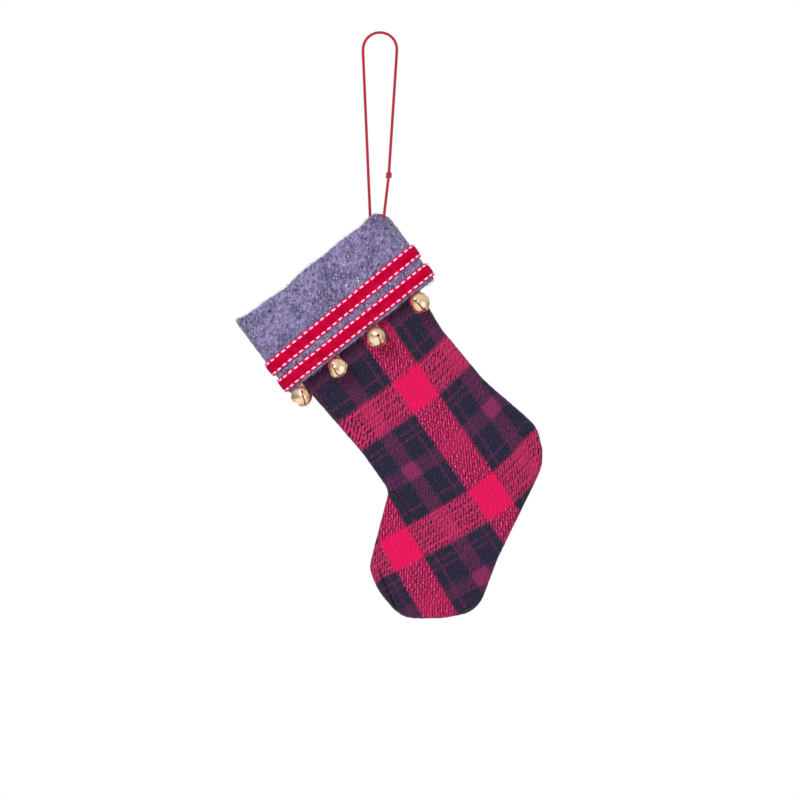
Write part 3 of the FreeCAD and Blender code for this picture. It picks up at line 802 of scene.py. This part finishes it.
def fold_depth(points):
    """The dents and small ridges that the folds make in the front."""
    depth = np.zeros(len(points))
    for start, end, deep, width in FOLDS:
        start, end, across = fold_ends(start, end)
        away = distance_to(points, start, end)
        ridge = 2.2 * width * across
        beside = distance_to(points, start + ridge, end + ridge)
        depth -= deep * np.exp(-(away / width) ** 2)
        depth += 0.4 * deep * np.exp(-(beside / (1.7 * width)) ** 2)
    return depth


def fold_shade(points):
    """How deep in a sharp fold each point lies, from 0 to 1."""
    shade = np.zeros(len(points))
    for start, end, _, width in FOLDS[:SHARP_FOLDS]:
        away = distance_to(points, np.array(start), np.array(end))
        shade = np.maximum(shade, np.exp(-(away / (0.9 * width)) ** 2))
    return shade


def pucker(points, seam, seed):
    """Small gathers across the seam and a broad unevenness of the stuffing."""
    shape = []
    for (across, down), inset in zip(points, seam):
        gathers = wander((across, down, 0.0), 5.0, seed) * math.exp(-inset / 4.5)
        broad = wander((across, down, 0.0), 23.0, seed + 3.1)
        shape.append(0.5 * gathers + 0.55 * broad * min(1.0, inset / 8.0))
    return np.array(shape)


SIM_SCALE = 10.0 * MM       # the cloth is simulated ten times larger
SIM_FRAMES = 24
SIM_CAP = 2.2
SIM_SEAM_CAP = 0.7
SIM_IN_PLANE = 0.25         # the cut allows for most of what filling draws in
SIM_SETTINGS = {"quality": 6, "mass": 0.25, "tension_stiffness": 30.0,
                "compression_stiffness": 30.0, "shear_stiffness": 12.0,
                "bending_stiffness": 0.6, "use_pressure": True,
                "uniform_pressure_force": 5.0, "vertex_group_mass": "held"}


def simulate_stuffing(front, back, triangles, outline_count):
    """Inflates the welded leg as cloth and returns how far each point moved, in millimetres.

    The outline's points come first and belong to both sides.
    """
    count = len(front)
    back_number = np.arange(count)
    back_number[outline_count:] += count - outline_count
    points = np.vstack([front, back[outline_count:]])
    faces = [tuple(face) for face in triangles]
    faces += [tuple(int(back_number[index]) for index in reversed(face)) for face in triangles]
    mesh = bpy.data.meshes.new("stuffing")
    mesh.from_pydata((points * SIM_SCALE).tolist(), [], faces)
    leg = add_object("stuffing", mesh)
    held = leg.vertex_groups.new(name="held")
    held.add(np.flatnonzero(points[:, 2] < MOUTH_DOWN + MOUTH_HELD).tolist(), 1.0, "REPLACE")
    cloth = leg.modifiers.new("cloth", "CLOTH")
    for setting, value in SIM_SETTINGS.items():
        setattr(cloth.settings, setting, value)
    cloth.settings.effector_weights.gravity = 0.0
    cloth.point_cache.frame_end = SIM_FRAMES
    for number in range(1, SIM_FRAMES + 1):
        bpy.context.scene.frame_set(number)
    evaluated = leg.evaluated_get(bpy.context.evaluated_depsgraph_get())
    moved = np.array([vertex.co for vertex in evaluated.data.vertices], float) / SIM_SCALE
    moved -= points
    moved *= np.array([SIM_IN_PLANE, 1.0, SIM_IN_PLANE])
    bpy.data.objects.remove(leg)
    bpy.context.scene.frame_set(1)
    return moved[:count], moved[back_number]


def capped(moves, limit):
    """Moves no longer than a limit, which may differ from point to point."""
    length = np.linalg.norm(moves, axis=1)
    keep = np.minimum(1.0, limit / np.maximum(length, 1e-9))
    return moves * keep[:, None]


# A column's middle at one height, a row's middle there, and how the cloth lies skewed.
PLAID_COLUMN = 43.5
PLAID_ROW = 71.5
PLAID_LEAN = 0.038
TOE_LEAN = 0.07
INSTEP_SHIFT = 5.4


def plaid_places(points):
    """Where each point lies in the plaid's repeat, with the cloth's own skew and bow."""
    across = points[:, 0]
    down = points[:, 1]
    toe = 1.0 - ease(0.0, 22.0, across)
    warp = across - PLAID_COLUMN + PLAID_LEAN * (down - 91.0)
    warp = warp + toe * TOE_LEAN * np.maximum(down - 118.0, -14.0)
    warp += INSTEP_SHIFT * (1.0 - ease(3.0, 18.0, across)) * (1.0 - ease(92.0, 104.0, down))
    off_middle = np.sqrt((across - 43.0) ** 2 + 64.0) - 8.0
    upper_bow = np.where(across < 43.0, 0.023, 0.104) * off_middle
    lower_bow = 0.147 * off_middle
    share = np.clip((down - PLAID_ROW) / WEFT_REPEAT, 0.0, 1.15)
    weft = down - PLAID_ROW + upper_bow * (1.0 - share) + lower_bow * share
    return np.stack([warp, weft, fold_shade(points)], axis=1)


def make_leg(material):
    """The leg's front and back, cut from one outline and stuffed."""
    points, triangles, outline_count, seam = leg_plan()
    rise = leg_rise(points, seam)
    shapes = {}
    for side in (1.0, -1.0):
        forward = side * LEG_HALF_DEPTH * rise
        shapes[side] = np.stack([points[:, 0], forward, points[:, 1]], axis=1)
    front_moves, back_moves = simulate_stuffing(shapes[1.0], shapes[-1.0], triangles,
                                                outline_count)
    limit = SIM_SEAM_CAP + (SIM_CAP - SIM_SEAM_CAP) * ease(0.0, 6.0, seam)
    shapes[1.0] += capped(front_moves, limit)
    shapes[-1.0] += capped(back_moves, limit)
    pieces = []
    free = ease(0.0, 1.5, seam) * ease(HEM_DOWN - 6.0, HEM_DOWN + 12.0, points[:, 1])
    for side, name, node, seed in ((1.0, "leg_front_flannel", "leg_front_panel", 0.0),
                                   (-1.0, "leg_back_flannel", "leg_back_panel", 7.7)):
        shape = shapes[side]
        detail = pucker(points, seam, seed) * ease(0.0, 1.5, seam)
        if side > 0:
            detail = detail + fold_depth(points) * free
        else:
            detail = detail + 0.6 * fold_depth(points + BACK_FOLDS_MOVED) * free
        shape[:, 1] += side * detail
        limit = np.where(points[:, 1] < BELLS_REACH_DOWN, LEG_LIMIT_BELLS, LEG_LIMIT)
        shape[:, 1] = np.clip(shape[:, 1], -limit, limit)
        wrong_side = shape[:, 1] * side < 0
        shape[wrong_side, 1] = 0.0
        faces = triangles if side > 0 else [face[::-1] for face in triangles]
        piece = add_mesh(name, own(shape), faces, material)
        store(piece, "cloth", plaid_places(points))
        face_away(piece, side)
        cloth = piece.modifiers.new("cloth_thickness", "SOLIDIFY")
        cloth.thickness = CLOTH_THICKNESS * MM
        cloth.offset = -1.0
        subdivide(piece)
        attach(piece, "stocking")
        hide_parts(node)
        pieces.append(piece)
    corners = points[np.array(triangles)]
    first = corners[:, 1] - corners[:, 0]
    second = corners[:, 2] - corners[:, 0]
    twice = np.abs(first[:, 0] * second[:, 1] - first[:, 1] * second[:, 0]).sum()
    low = points.min(axis=0)
    high = points.max(axis=0)
    for piece in pieces:
        (high[0] - low[0]) * MM
        (high[1] - low[1]) * MM


def face_away(piece, side):
    """Makes an open cloth's faces look forwards or backwards, away from the leg's middle."""
    total = sum((polygon.normal.y * polygon.area for polygon in piece.data.polygons), 0.0)
    if total * side > 0:
        piece.data.flip_normals()


# ---------------------------------------------------------------- cuff

def cuff_ring(spacing, outset=0.0):
    """The cuff's outer face seen from above: points (across, forward), normals and distances."""
    left = CUFF_LEFT - outset
    right = CUFF_RIGHT + outset
    half = CUFF_HALF_DEPTH + outset
    radius = CUFF_END_ROUND + outset
    corners = [(right, half, radius), (right, -half, radius),
               (left, -half, radius), (left, half, radius)]
    line = rounded_outline(corners, spacing)
    closed = np.vstack([line, line[:1]])
    lengths = np.linalg.norm(np.diff(closed, axis=0), axis=1)
    total = lengths.sum()
    count = round(total / spacing)
    wanted = np.arange(count) * total / count
    travelled = np.concatenate([[0.0], np.cumsum(lengths)])
    points = np.stack([np.interp(wanted, travelled, closed[:, axis]) for axis in range(2)], axis=1)
    ahead = np.roll(points, -1, axis=0) - np.roll(points, 1, axis=0)
    ahead /= np.linalg.norm(ahead, axis=1)[:, None]
    normals = np.stack([ahead[:, 1], -ahead[:, 0]], axis=1)
    middle = np.array([(left + right) / 2.0, 0.0])
    inwards = ((points - middle) * normals).sum(axis=1) < 0
    normals[inwards] *= -1.0
    return points, normals, wanted


def cuff_top(across):
    """How far down the felt's upper edge is: a hand-cut line with one rounded corner."""
    share = (across - CUFF_LEFT) / (CUFF_RIGHT - CUFF_LEFT)
    down = CUFF_TOP_LEFT + (CUFF_TOP_RIGHT - CUFF_TOP_LEFT) * share
    for middle, width, dip in CUFF_TOP_WAVES:
        down += dip * math.exp(-((across - middle) / width) ** 2)
    corner = max(0.0, across - (CUFF_RIGHT - CUFF_CORNER_ROUND))
    drop = CUFF_CORNER_ROUND - math.sqrt(max(0.0, CUFF_CORNER_ROUND ** 2 - corner ** 2))
    return down + drop


def hem_down(across):
    return HEM_DOWN - HEM_SLOPE * across


def cuff_wave(across, forward, down):
    """How far the felt and all that is sewn to it stand proud of a flat cuff."""
    return 0.45 * wander((across, forward, down), 24.0, 5.0)


def end_swell(normal):
    """How far a ribbon stands further out where it folds round the cuff's ends."""
    return 0.6 * abs(normal[0]) ** 3


FELT_GRID = 0.9
EDGE_STEPS = 3
DRAWN_AREA = 7.0            # the patch of felt that each bell's thread draws in
DRAWN_DEPTH = 0.35
# Unevenness of the felt's edges and faces: (how far, wavelength, seed).
FELT_RAGGED = [(0.3, 1.9, 2.0), (0.28, 1.0, 6.0)]
FELT_LUMPS = [(0.22, 4.2, 1.0), (0.2, 1.7, 9.0)]


def make_cuff(material):
    """A thick closed band of felt with soft, slightly ragged edges."""
    ring, normals, _ = cuff_ring(FELT_GRID)
    rows = round(HEM_DOWN / FELT_GRID)
    face = [row / rows for row in range(rows + 1)]
    edge = [step / EDGE_STEPS for step in range(1, EDGE_STEPS)]
    profile = [(share, 0.0) for share in face] + [(1.0, inset) for inset in edge]
    profile += [(1.0 - share, 1.0) for share in face] + [(0.0, 1.0 - inset) for inset in edge]
    hooks = np.array(bell_places())[0::2]
    points = []
    for (across, forward), normal in zip(ring, normals):
        top = cuff_top(across)
        hem = hem_down(across)
        for share, inset in profile:
            down = top + (hem - top) * share
            edge_round = 0.45 * (1.0 - math.sin(math.pi * inset))
            down += edge_round * (1.0 - 2.0 * share) if share in (0.0, 1.0) else 0.0
            away = np.min(np.hypot(hooks[:, 0] - across, hooks[:, 2] - down))
            drawn = math.exp(-away ** 2 / DRAWN_AREA) if forward > 0.0 else 0.0
            ragged = math.exp(-max(0.0, min(down - top, hem - down)) / 1.2) * (1.0 - drawn)
            for depth, size, seed in FELT_RAGGED:
                down += depth * ragged * wander((across, 3.0 * forward, 0.0), size, seed)
            out = cuff_wave(across, forward, down) - FELT_THICKNESS * inset
            lumps = sum(height * wander((across, forward, down), size, seed)
                        for height, size, seed in FELT_LUMPS)
            lumps = lumps * (1.0 - drawn) - DRAWN_DEPTH * drawn
            out += lumps if inset < 0.5 else -lumps
            points.append((across + normal[0] * out, forward + normal[1] * out, down))
    columns = len(profile)
    faces = grid_faces(len(ring), columns, closed_rows=True, closed_columns=True)
    felt = add_mesh("cuff_felt", own(points), faces, material)
    outward(felt)
    subdivide(felt)
    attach(felt, "stocking")
    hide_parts("cuff_band")
    fibres = make_fibres(material)


FIBRES_ON_FACE = 2600
FIBRES_ON_EDGES = 2200
FIBRES_CLEAR = 6.5          # none grows this close to a bell's hook or middle


def bell_places():
    """The bells' hooks and centres, in the own frame's (across, forward, down)."""
    places = []
    for number in range(1, BELLS + 1):
        for joint in ("bell_%d_lift", "pellet_%d_roll"):
            offset = np.array(JOINTS[joint % number]["pos_m"]) - OWN_ORIGIN
            places.append([offset @ ACROSS / MM, offset @ FORWARD / MM, offset @ DOWN / MM])
    return places


def make_fibres(material):
    """Loose wool that stands off the felt's faces and cut edges."""
    rng = random.Random(23)
    clear_of = np.array(bell_places())
    ring, normals, _ = cuff_ring(0.5)
    parts = []
    for number in range(FIBRES_ON_FACE + FIBRES_ON_EDGES):
        index = rng.randrange(len(ring))
        across, forward = ring[index]
        normal = np.array([normals[index][0], normals[index][1], 0.0])
        top = cuff_top(across)
        hem = hem_down(across)
        along = np.array([-normal[1], normal[0], 0.0])
        tilt = rng.uniform(0.0, TURN)
        if number < FIBRES_ON_FACE:
            share = rng.uniform(0.01, 0.99)
            inset = 0.0
            away = 0.55 * normal
        else:
            share = 0.0 if rng.random() < 0.6 else 1.0
            inset = FELT_THICKNESS * rng.random()
            away = np.array([0.0, 0.0, -0.9 if share == 0.0 else 0.9])
        down = top + (hem - top) * share
        out = cuff_wave(across, forward, down) - inset
        place = np.array([across, forward, down]) + normal * out
        if np.min(np.linalg.norm(clear_of - place, axis=1)) < FIBRES_CLEAR:
            continue
        heading = away + math.cos(tilt) * along + math.sin(tilt) * np.array([0.0, 0.0, 1.0])
        heading /= np.linalg.norm(heading)
        bend = 0.35 * (rng.random() * along + rng.uniform(-1.0, 1.0) * normal)
        length = rng.uniform(0.5, 1.3)
        path = [place + length * step * (heading + step * bend)
                for step in (-0.2, 0.15, 0.5, 0.8, 1.0)]
        parts.append(sweep(path, 0.035, 3, [1.0, 1.0, 0.9, 0.7, 0.3]))
    fibres = add_own("cuff_felt_fibres", parts, material)
    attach(fibres, "stocking")
    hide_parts("cuff_band")
    return fibres


RIBBON_STEP = 0.55
# Half of a ribbon's section: (share of the half width, height as a share of the thickness).
RIBBON_SECTION = [(0.0, 1.0), (0.3, 1.0), (0.52, 0.96), (0.6, 0.80), (0.68, 0.80), (0.85, 0.84),
                  (0.95, 0.78), (1.0, 0.5), (0.97, 0.16), (0.85, 0.04), (0.4, 0.0)]


def ribbon_down(name, across):
    start, slope = RIBBONS[name]
    return start - slope * across


def make_ribbon(name, material):
    """A band with a raised velvet middle and thinner ribbed edges."""
    ring, normals, travelled = cuff_ring(RIBBON_STEP)
    upper = [(-share, height) for share, height in RIBBON_SECTION]
    lower = [(share, height) for share, height in RIBBON_SECTION]
    section = upper[::-1] + lower[1:]
    points = []
    places = []
    for (across, forward), normal, along in zip(ring, normals, travelled):
        middle = ribbon_down(name, across)
        scallop = 0.10 * math.cos(TURN * along / STITCH_PITCH)
        for share, height in section:
            edge = abs(share) ** 6
            down = middle + share * (RIBBON_WIDTH / 2.0 + scallop * edge)
            out = cuff_wave(across, forward, down) - 0.1 + RIBBON_THICKNESS * height
            out += end_swell(normal)
            out += 0.06 * wander((along, down, 1.0), 2.4, 4.0) * height
            points.append((across + normal[0] * out, forward + normal[1] * out, down))
            places.append((along, share * RIBBON_WIDTH / 2.0, 0.0))
    faces = grid_faces(len(ring), len(section), closed_rows=True, closed_columns=True)
    ribbon = add_mesh(name + "_band", own(points), faces, material)
    store(ribbon, "cloth", places)
    outward(ribbon)
    subdivide(ribbon)
    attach(ribbon, "stocking")
    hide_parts(name)


def stitch_bar(place, along, out, wobble):
    """One dash of thread that dives into the ribbon at both ends."""
    side = np.cross(along, out)
    path = []
    taper = []
    for step in range(9):
        share = step / 8.0
        arch = math.sin(math.pi * share)
        lift = STITCH_HEIGHT * (0.85 * math.sqrt(arch) - 0.55)
        path.append(place + along * (share - 0.5) * STITCH_LENGTH + out * lift
                    + side * wobble * (share - 0.5))
        taper.append(0.55 + 0.45 * math.sqrt(arch))
    return sweep(path, STITCH_WIDTH / 2.0, 8, taper)


def make_stitches(name, material):
    """The two rows of dashes along a ribbon's edges."""
    rng = random.Random(11)
    ring, normals, travelled = cuff_ring(0.2, RIBBON_THICKNESS * 0.7)
    total = travelled[-1] + travelled[1]
    count = round(total / STITCH_PITCH)
    parts = []
    for number in range(count):
        index = int((number + 0.5) / count * len(ring)) % len(ring)
        across, forward = ring[index]
        normal = normals[index]
        ahead = ring[(index + 1) % len(ring)] - ring[index - 1]
        slope = -RIBBONS[name][1] * ahead[0]
        along = np.array([ahead[0], ahead[1], slope])
        along /= np.linalg.norm(along)
        out = np.array([normal[0], normal[1], 0.0])
        for row in (-STITCH_ROW, STITCH_ROW):
            down = ribbon_down(name, across) + row + rng.uniform(-0.07, 0.07)
            wave = cuff_wave(across, forward, down) + end_swell(normal)
            place = np.array([across, forward, down]) + out * wave
            parts.append(stitch_bar(place, along, out, rng.uniform(-0.25, 0.25)))
    stitches = add_own(name + "_dashes", parts, material)
    outward(stitches)
    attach(stitches, "stocking")
    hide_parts(name + "_stitches")


def make_mouth_seam(material):
    """A row of slanting stitches that holds the leg's mouth to the felt's inside."""
    inset = FELT_THICKNESS + 0.35
    ring, normals, _ = cuff_ring(2.2, -inset)
    parts = []
    for index, ((across, forward), normal) in enumerate(zip(ring, normals)):
        slant = 0.9 if index % 2 else -0.9
        path = []
        for step in range(7):
            share = step / 6.0
            lift = 0.35 * math.sin(math.pi * share)
            down = MOUTH_DOWN + 1.2 + 3.0 * share
            shift = slant * (share - 0.5)
            path.append((across - normal[1] * shift - normal[0] * lift,
                         forward + normal[0] * shift - normal[1] * lift, down))
        parts.append(sweep(path, 0.28, 6))
    seam = add_own("mouth_stitches", parts, material)
    outward(seam)
    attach(seam, "stocking")
    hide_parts("mouth_seam_thread")


# ---------------------------------------------------------------- bells

BELL_COLUMNS = 14
SLIT_END = math.radians(82.0)       # the slit-end holes' middle, up from the pole
BELL_SQUARE = 0.5                   # how flat the petals are pressed
BELL_SPREAD = 0.05                  # how much the pressing spreads them
BALL_RADIUS = 0.9
BALL_DROP = 2.75
BELL_THREAD_THINNER = 0.08
PETAL_ROWS = 18
HOLE_ROWS = 13
DOME_ROWS = 15


def bell_shell_points():
    """A quarter's grid of (polar angle, turn): its petal below and its share of the dome."""
    hole = BELL_SLIT_HOLE / 2.0
    hole_turn = hole / BELL_RADIUS
    start = BELL_SLIT * 0.75 / BELL_RADIUS
    below = np.linspace(start, SLIT_END - hole_turn, PETAL_ROWS, endpoint=False)
    through = SLIT_END - hole_turn * np.cos(np.linspace(0.0, math.pi, HOLE_ROWS))
    above = np.linspace(SLIT_END + hole_turn, math.pi - 0.02, DOME_ROWS)[1:]
    polar = np.concatenate([below, through, above])
    rows = []
    for angle in polar:
        height = BELL_RADIUS * (angle - SLIT_END)
        half_gap = BELL_SLIT / 2.0 if angle < SLIT_END else 0.0
        if abs(height) < hole:
            half_gap = max(half_gap, math.sqrt(hole ** 2 - height ** 2))
        ring = BELL_RADIUS * math.sin(angle)
        gap_turn = math.asin(min(1.0, half_gap / ring))
        half_turn = math.pi / 4.0 - gap_turn
        rows.append([(angle, (2.0 * column / BELL_COLUMNS - 1.0) * half_turn)
                     for column in range(BELL_COLUMNS + 1)])
    return rows


def bell_point(angle, turn, quarter):
    """A point of the pressed shell: petals flattened like a soft cube, the dome round."""
    flat = BELL_SQUARE * float(ease(0.25, 0.9, angle)) * float(1.0 - ease(1.45, 2.3, angle))
    square = math.cos(math.pi / 4.0) / math.cos(turn)
    spread = BELL_RADIUS * (1.0 + BELL_SPREAD * float(1.0 - ease(1.6, 2.4, angle)))
    ring = spread * math.sin(angle) * (1.0 - flat + flat * (0.18 + 0.82 * square))
    bottom = 0.06 * BELL_RADIUS * float(1.0 - ease(0.0, 0.7, angle))
    height = -spread * math.cos(angle) + bottom
    spin = turn + quarter * math.pi / 2.0
    return (ring * math.cos(spin), ring * math.sin(spin), height)


def bell_frame(number):
    """The bell's centre from its joints, and how it has turned against the cloth."""
    centre = Vector(JOINTS["pellet_%d_roll" % number]["pos_m"])
    hook = Vector(JOINTS["bell_%d_lift" % number]["pos_m"])
    up = (hook - centre).normalized()
    spin, aside, upright = (math.radians(turn) for turn in BELL_TURNS[number - 1])
    turn = Matrix.Rotation(-aside, 3, "Y") @ Matrix.Rotation(upright, 3, "X")
    turn = turn @ Vector((0.0, 0.0, 1.0)).rotation_difference(up).to_matrix()
    return centre, turn @ Matrix.Rotation(spin + math.radians(45.0), 3, "Z")


def make_bell(number, brass):
    """The pressed shell: four quarters welded together, with a wall and rolled edges."""
    rows = bell_shell_points()
    columns = BELL_COLUMNS + 1
    points = []
    faces = []
    for quarter in range(4):
        offset = len(points)
        for row in rows:
            points += [bell_point(angle, turn, quarter) for angle, turn in row]
        faces += [tuple(index + offset for index in face)
                  for face in grid_faces(len(rows), columns)]
    top = len(points)
    points.append((0.0, 0.0, BELL_RADIUS))
    centre, turn = bell_frame(number)
    last_row = (len(rows) - 1) * columns
    for quarter in range(4):
        offset = quarter * len(rows) * columns + last_row
        for column in range(columns - 1):
            faces.append((offset + column, offset + column + 1, top))
    placed = [tuple(centre + turn @ (Vector(point) * MM)) for point in points]
    shell = add_mesh("bell_%d_pressed_shell" % number, placed, faces, brass)
    weld(shell, centre)
    wall = shell.modifiers.new("wall", "SOLIDIFY")
    wall.thickness = BELL_WALL * MM
    wall.offset = -1.0
    bevel = shell.modifiers.new("rolled_edges", "BEVEL")
    bevel.width = 0.09 * MM
    bevel.segments = 2
    bevel.limit_method = "ANGLE"
    bevel.angle_limit = math.radians(50.0)
    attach(shell, "bell_%d" % number)
    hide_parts("bell_shell_%d" % number)


def make_pellet(number, material):
    """The loose ball: small enough to roll past the petals' flats."""
    centre, _ = bell_frame(number)
    mesh = bpy.data.meshes.new("bell_%d_ball" % number)
    shape = bmesh.new()
    place = Matrix.Translation(centre - Vector((0.0, 0.0, BALL_DROP * MM)))
    bmesh.ops.create_uvsphere(shape, u_segments=28, v_segments=16, radius=BALL_RADIUS * MM,
                              matrix=place)
    shape.to_mesh(mesh)
    shape.free()
    shade_smooth(mesh)
    mesh.materials.append(material)
    ball = add_object("bell_%d_ball" % number, mesh)
    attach(ball, "pellet_%d" % number)
    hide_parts("bell_pellet_%d" % number)


WELD_DISTANCE = 0.012 * MM


def weld(piece, centre):
    """Joins the quarters where they touch, with every face looking away from the centre."""
    mesh = bmesh.new()
    mesh.from_mesh(piece.data)
    bmesh.ops.remove_doubles(mesh, verts=mesh.verts, dist=WELD_DISTANCE)
    bmesh.ops.recalc_face_normals(mesh, faces=mesh.faces)
    inwards = sum((face.calc_center_median() - centre).dot(face.normal) for face in mesh.faces)
    if inwards < 0:
        bmesh.ops.reverse_faces(mesh, faces=mesh.faces)
    mesh.to_mesh(piece.data)
    mesh.free()


# ---------------------------------------------------------------- stage

FLOOR_RADIUS = 2.2
FLOOR_BELOW = 0.3
FLOOR_SIDES = 96


def make_floor(material):
    """A plain pale floor, well below the hanging object."""
    turns = [TURN * side / FLOOR_SIDES for side in range(FLOOR_SIDES)]
    rim = [(FLOOR_RADIUS * math.cos(turn), FLOOR_RADIUS * math.sin(turn), cad_low.z - FLOOR_BELOW)
           for turn in turns]
    floor = add_mesh("floor", rim, [tuple(range(FLOOR_SIDES))], material, smooth=False)


# The surroundings' brightness: (share of the way from straight down to straight up, level).
SURROUNDINGS = [(0.0, 0.8), (0.38, 0.85), (0.47, 0.42), (0.53, 0.45), (0.64, 1.0), (1.0, 1.2)]
SURROUNDINGS_STRENGTH = 0.6


def make_world():
    """White for the camera; soft sky, dim horizon and pale ground for light and reflections."""
    world = bpy.data.worlds.new("studio")
    bpy.context.scene.world = world
    world.use_nodes = True
    world.node_tree.nodes.clear()
    nodes = Nodes(world.node_tree)
    height = nodes.parts(nodes.value("ShaderNodeTexCoord", "Generated"))[2]
    share = nodes.math("MULTIPLY_ADD", height, 0.5, 0.5)
    ramp = nodes.node("ShaderNodeValToRGB", {0: share})
    elements = ramp.color_ramp.elements
    while len(elements) < len(SURROUNDINGS):
        elements.new(0.5)
    for element, (position, level) in zip(elements, SURROUNDINGS):
        element.position = position
        element.color = (level, level, level, 1.0)
    shades = {"Color": Value(nodes, ramp.outputs[0]), "Strength": SURROUNDINGS_STRENGTH}
    surround = nodes.value("ShaderNodeBackground", 0, shades)
    white = {"Color": (1.0, 1.0, 1.0, 1.0), "Strength": 1.0}
    plain = nodes.value("ShaderNodeBackground", 0, white)
    seen = nodes.value("ShaderNodeLightPath", "Is Camera Ray")
    shown = nodes.value("ShaderNodeMixShader", 0, {0: seen, 1: surround, 2: plain})
    nodes.node("ShaderNodeOutputWorld", {0: shown})


LIGHTS_AIM = Vector((0.0, 0.0, -0.17))


def make_light(name, place, size, power):
    data = bpy.data.lights.new(name, "AREA")
    data.shape = "DISK"
    data.size = size
    data.energy = power
    light = add_object(name, data)
    light.location = place
    light.rotation_euler = (LIGHTS_AIM - Vector(place)).to_track_quat("-Z", "Y").to_euler()


# ---------------------------------------------------------------- the object

def finish_cad(node, material, thinner=0.0):
    """Gives a CAD node that stays its finished material, and draws its surface in a little."""
    piece = frame["nodes"][node]
    if thinner > 0.0:
        inward = piece.modifiers.new("drawn_tight", "DISPLACE")
        inward.direction = "NORMAL"
        inward.mid_level = 0.0
        inward.strength = -thinner * MM
    piece.data.materials.clear()
    piece.data.materials.append(material)
    shade_smooth(piece.data)


make_camera()

cord_red = thread_material("cord_red", linear(208, 4, 62), linear(136, 0, 38), 1.1)
cord_piece, cord_line = make_cord(cord_red)
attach(cord_piece, "hanger")
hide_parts("hang_cord")
knot_piece = make_knot(cord_red)
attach(knot_piece, "hanger")
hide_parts("hang_knot")

plaid = plaid_material()
felt = felt_material()
ribbon_cloth = ribbon_material()
stitch_thread = thread_material("pink_white_thread", linear(252, 230, 254),
                                linear(244, 196, 232), 0.5)
seam_thread = thread_material("dark_seam_thread", linear(70, 44, 74), linear(36, 22, 40), 0.4)
bell_thread = thread_material("bell_thread_gold", linear(196, 160, 104), linear(128, 92, 52), 0.4)
brass = brass_material()
steel = steel_material()

make_leg(plaid)
make_cuff(felt)
for ribbon_name in RIBBONS:
    make_ribbon(ribbon_name, ribbon_cloth)
    make_stitches(ribbon_name, stitch_thread)
make_mouth_seam(seam_thread)
for number in range(1, BELLS + 1):
    make_bell(number, brass)
for number in range(1, BELLS + 1):
    finish_cad("bell_shank_%d" % number, brass)
    finish_cad("bell_thread_%d" % number, bell_thread, BELL_THREAD_THINNER)
    make_pellet(number, steel)
finish_cad("leg_seam_thread", seam_thread)
finish_cad("cuff_side_seam_thread", seam_thread)

make_world()
make_floor(floor_material())
make_light("key", (-0.7, -1.2, 0.5), 0.6, 11.2)
make_light("fill", (0.9, -1.0, -0.1), 0.9, 3.2)
make_light("back", (0.3, 1.1, 0.6), 0.8, 5.4)
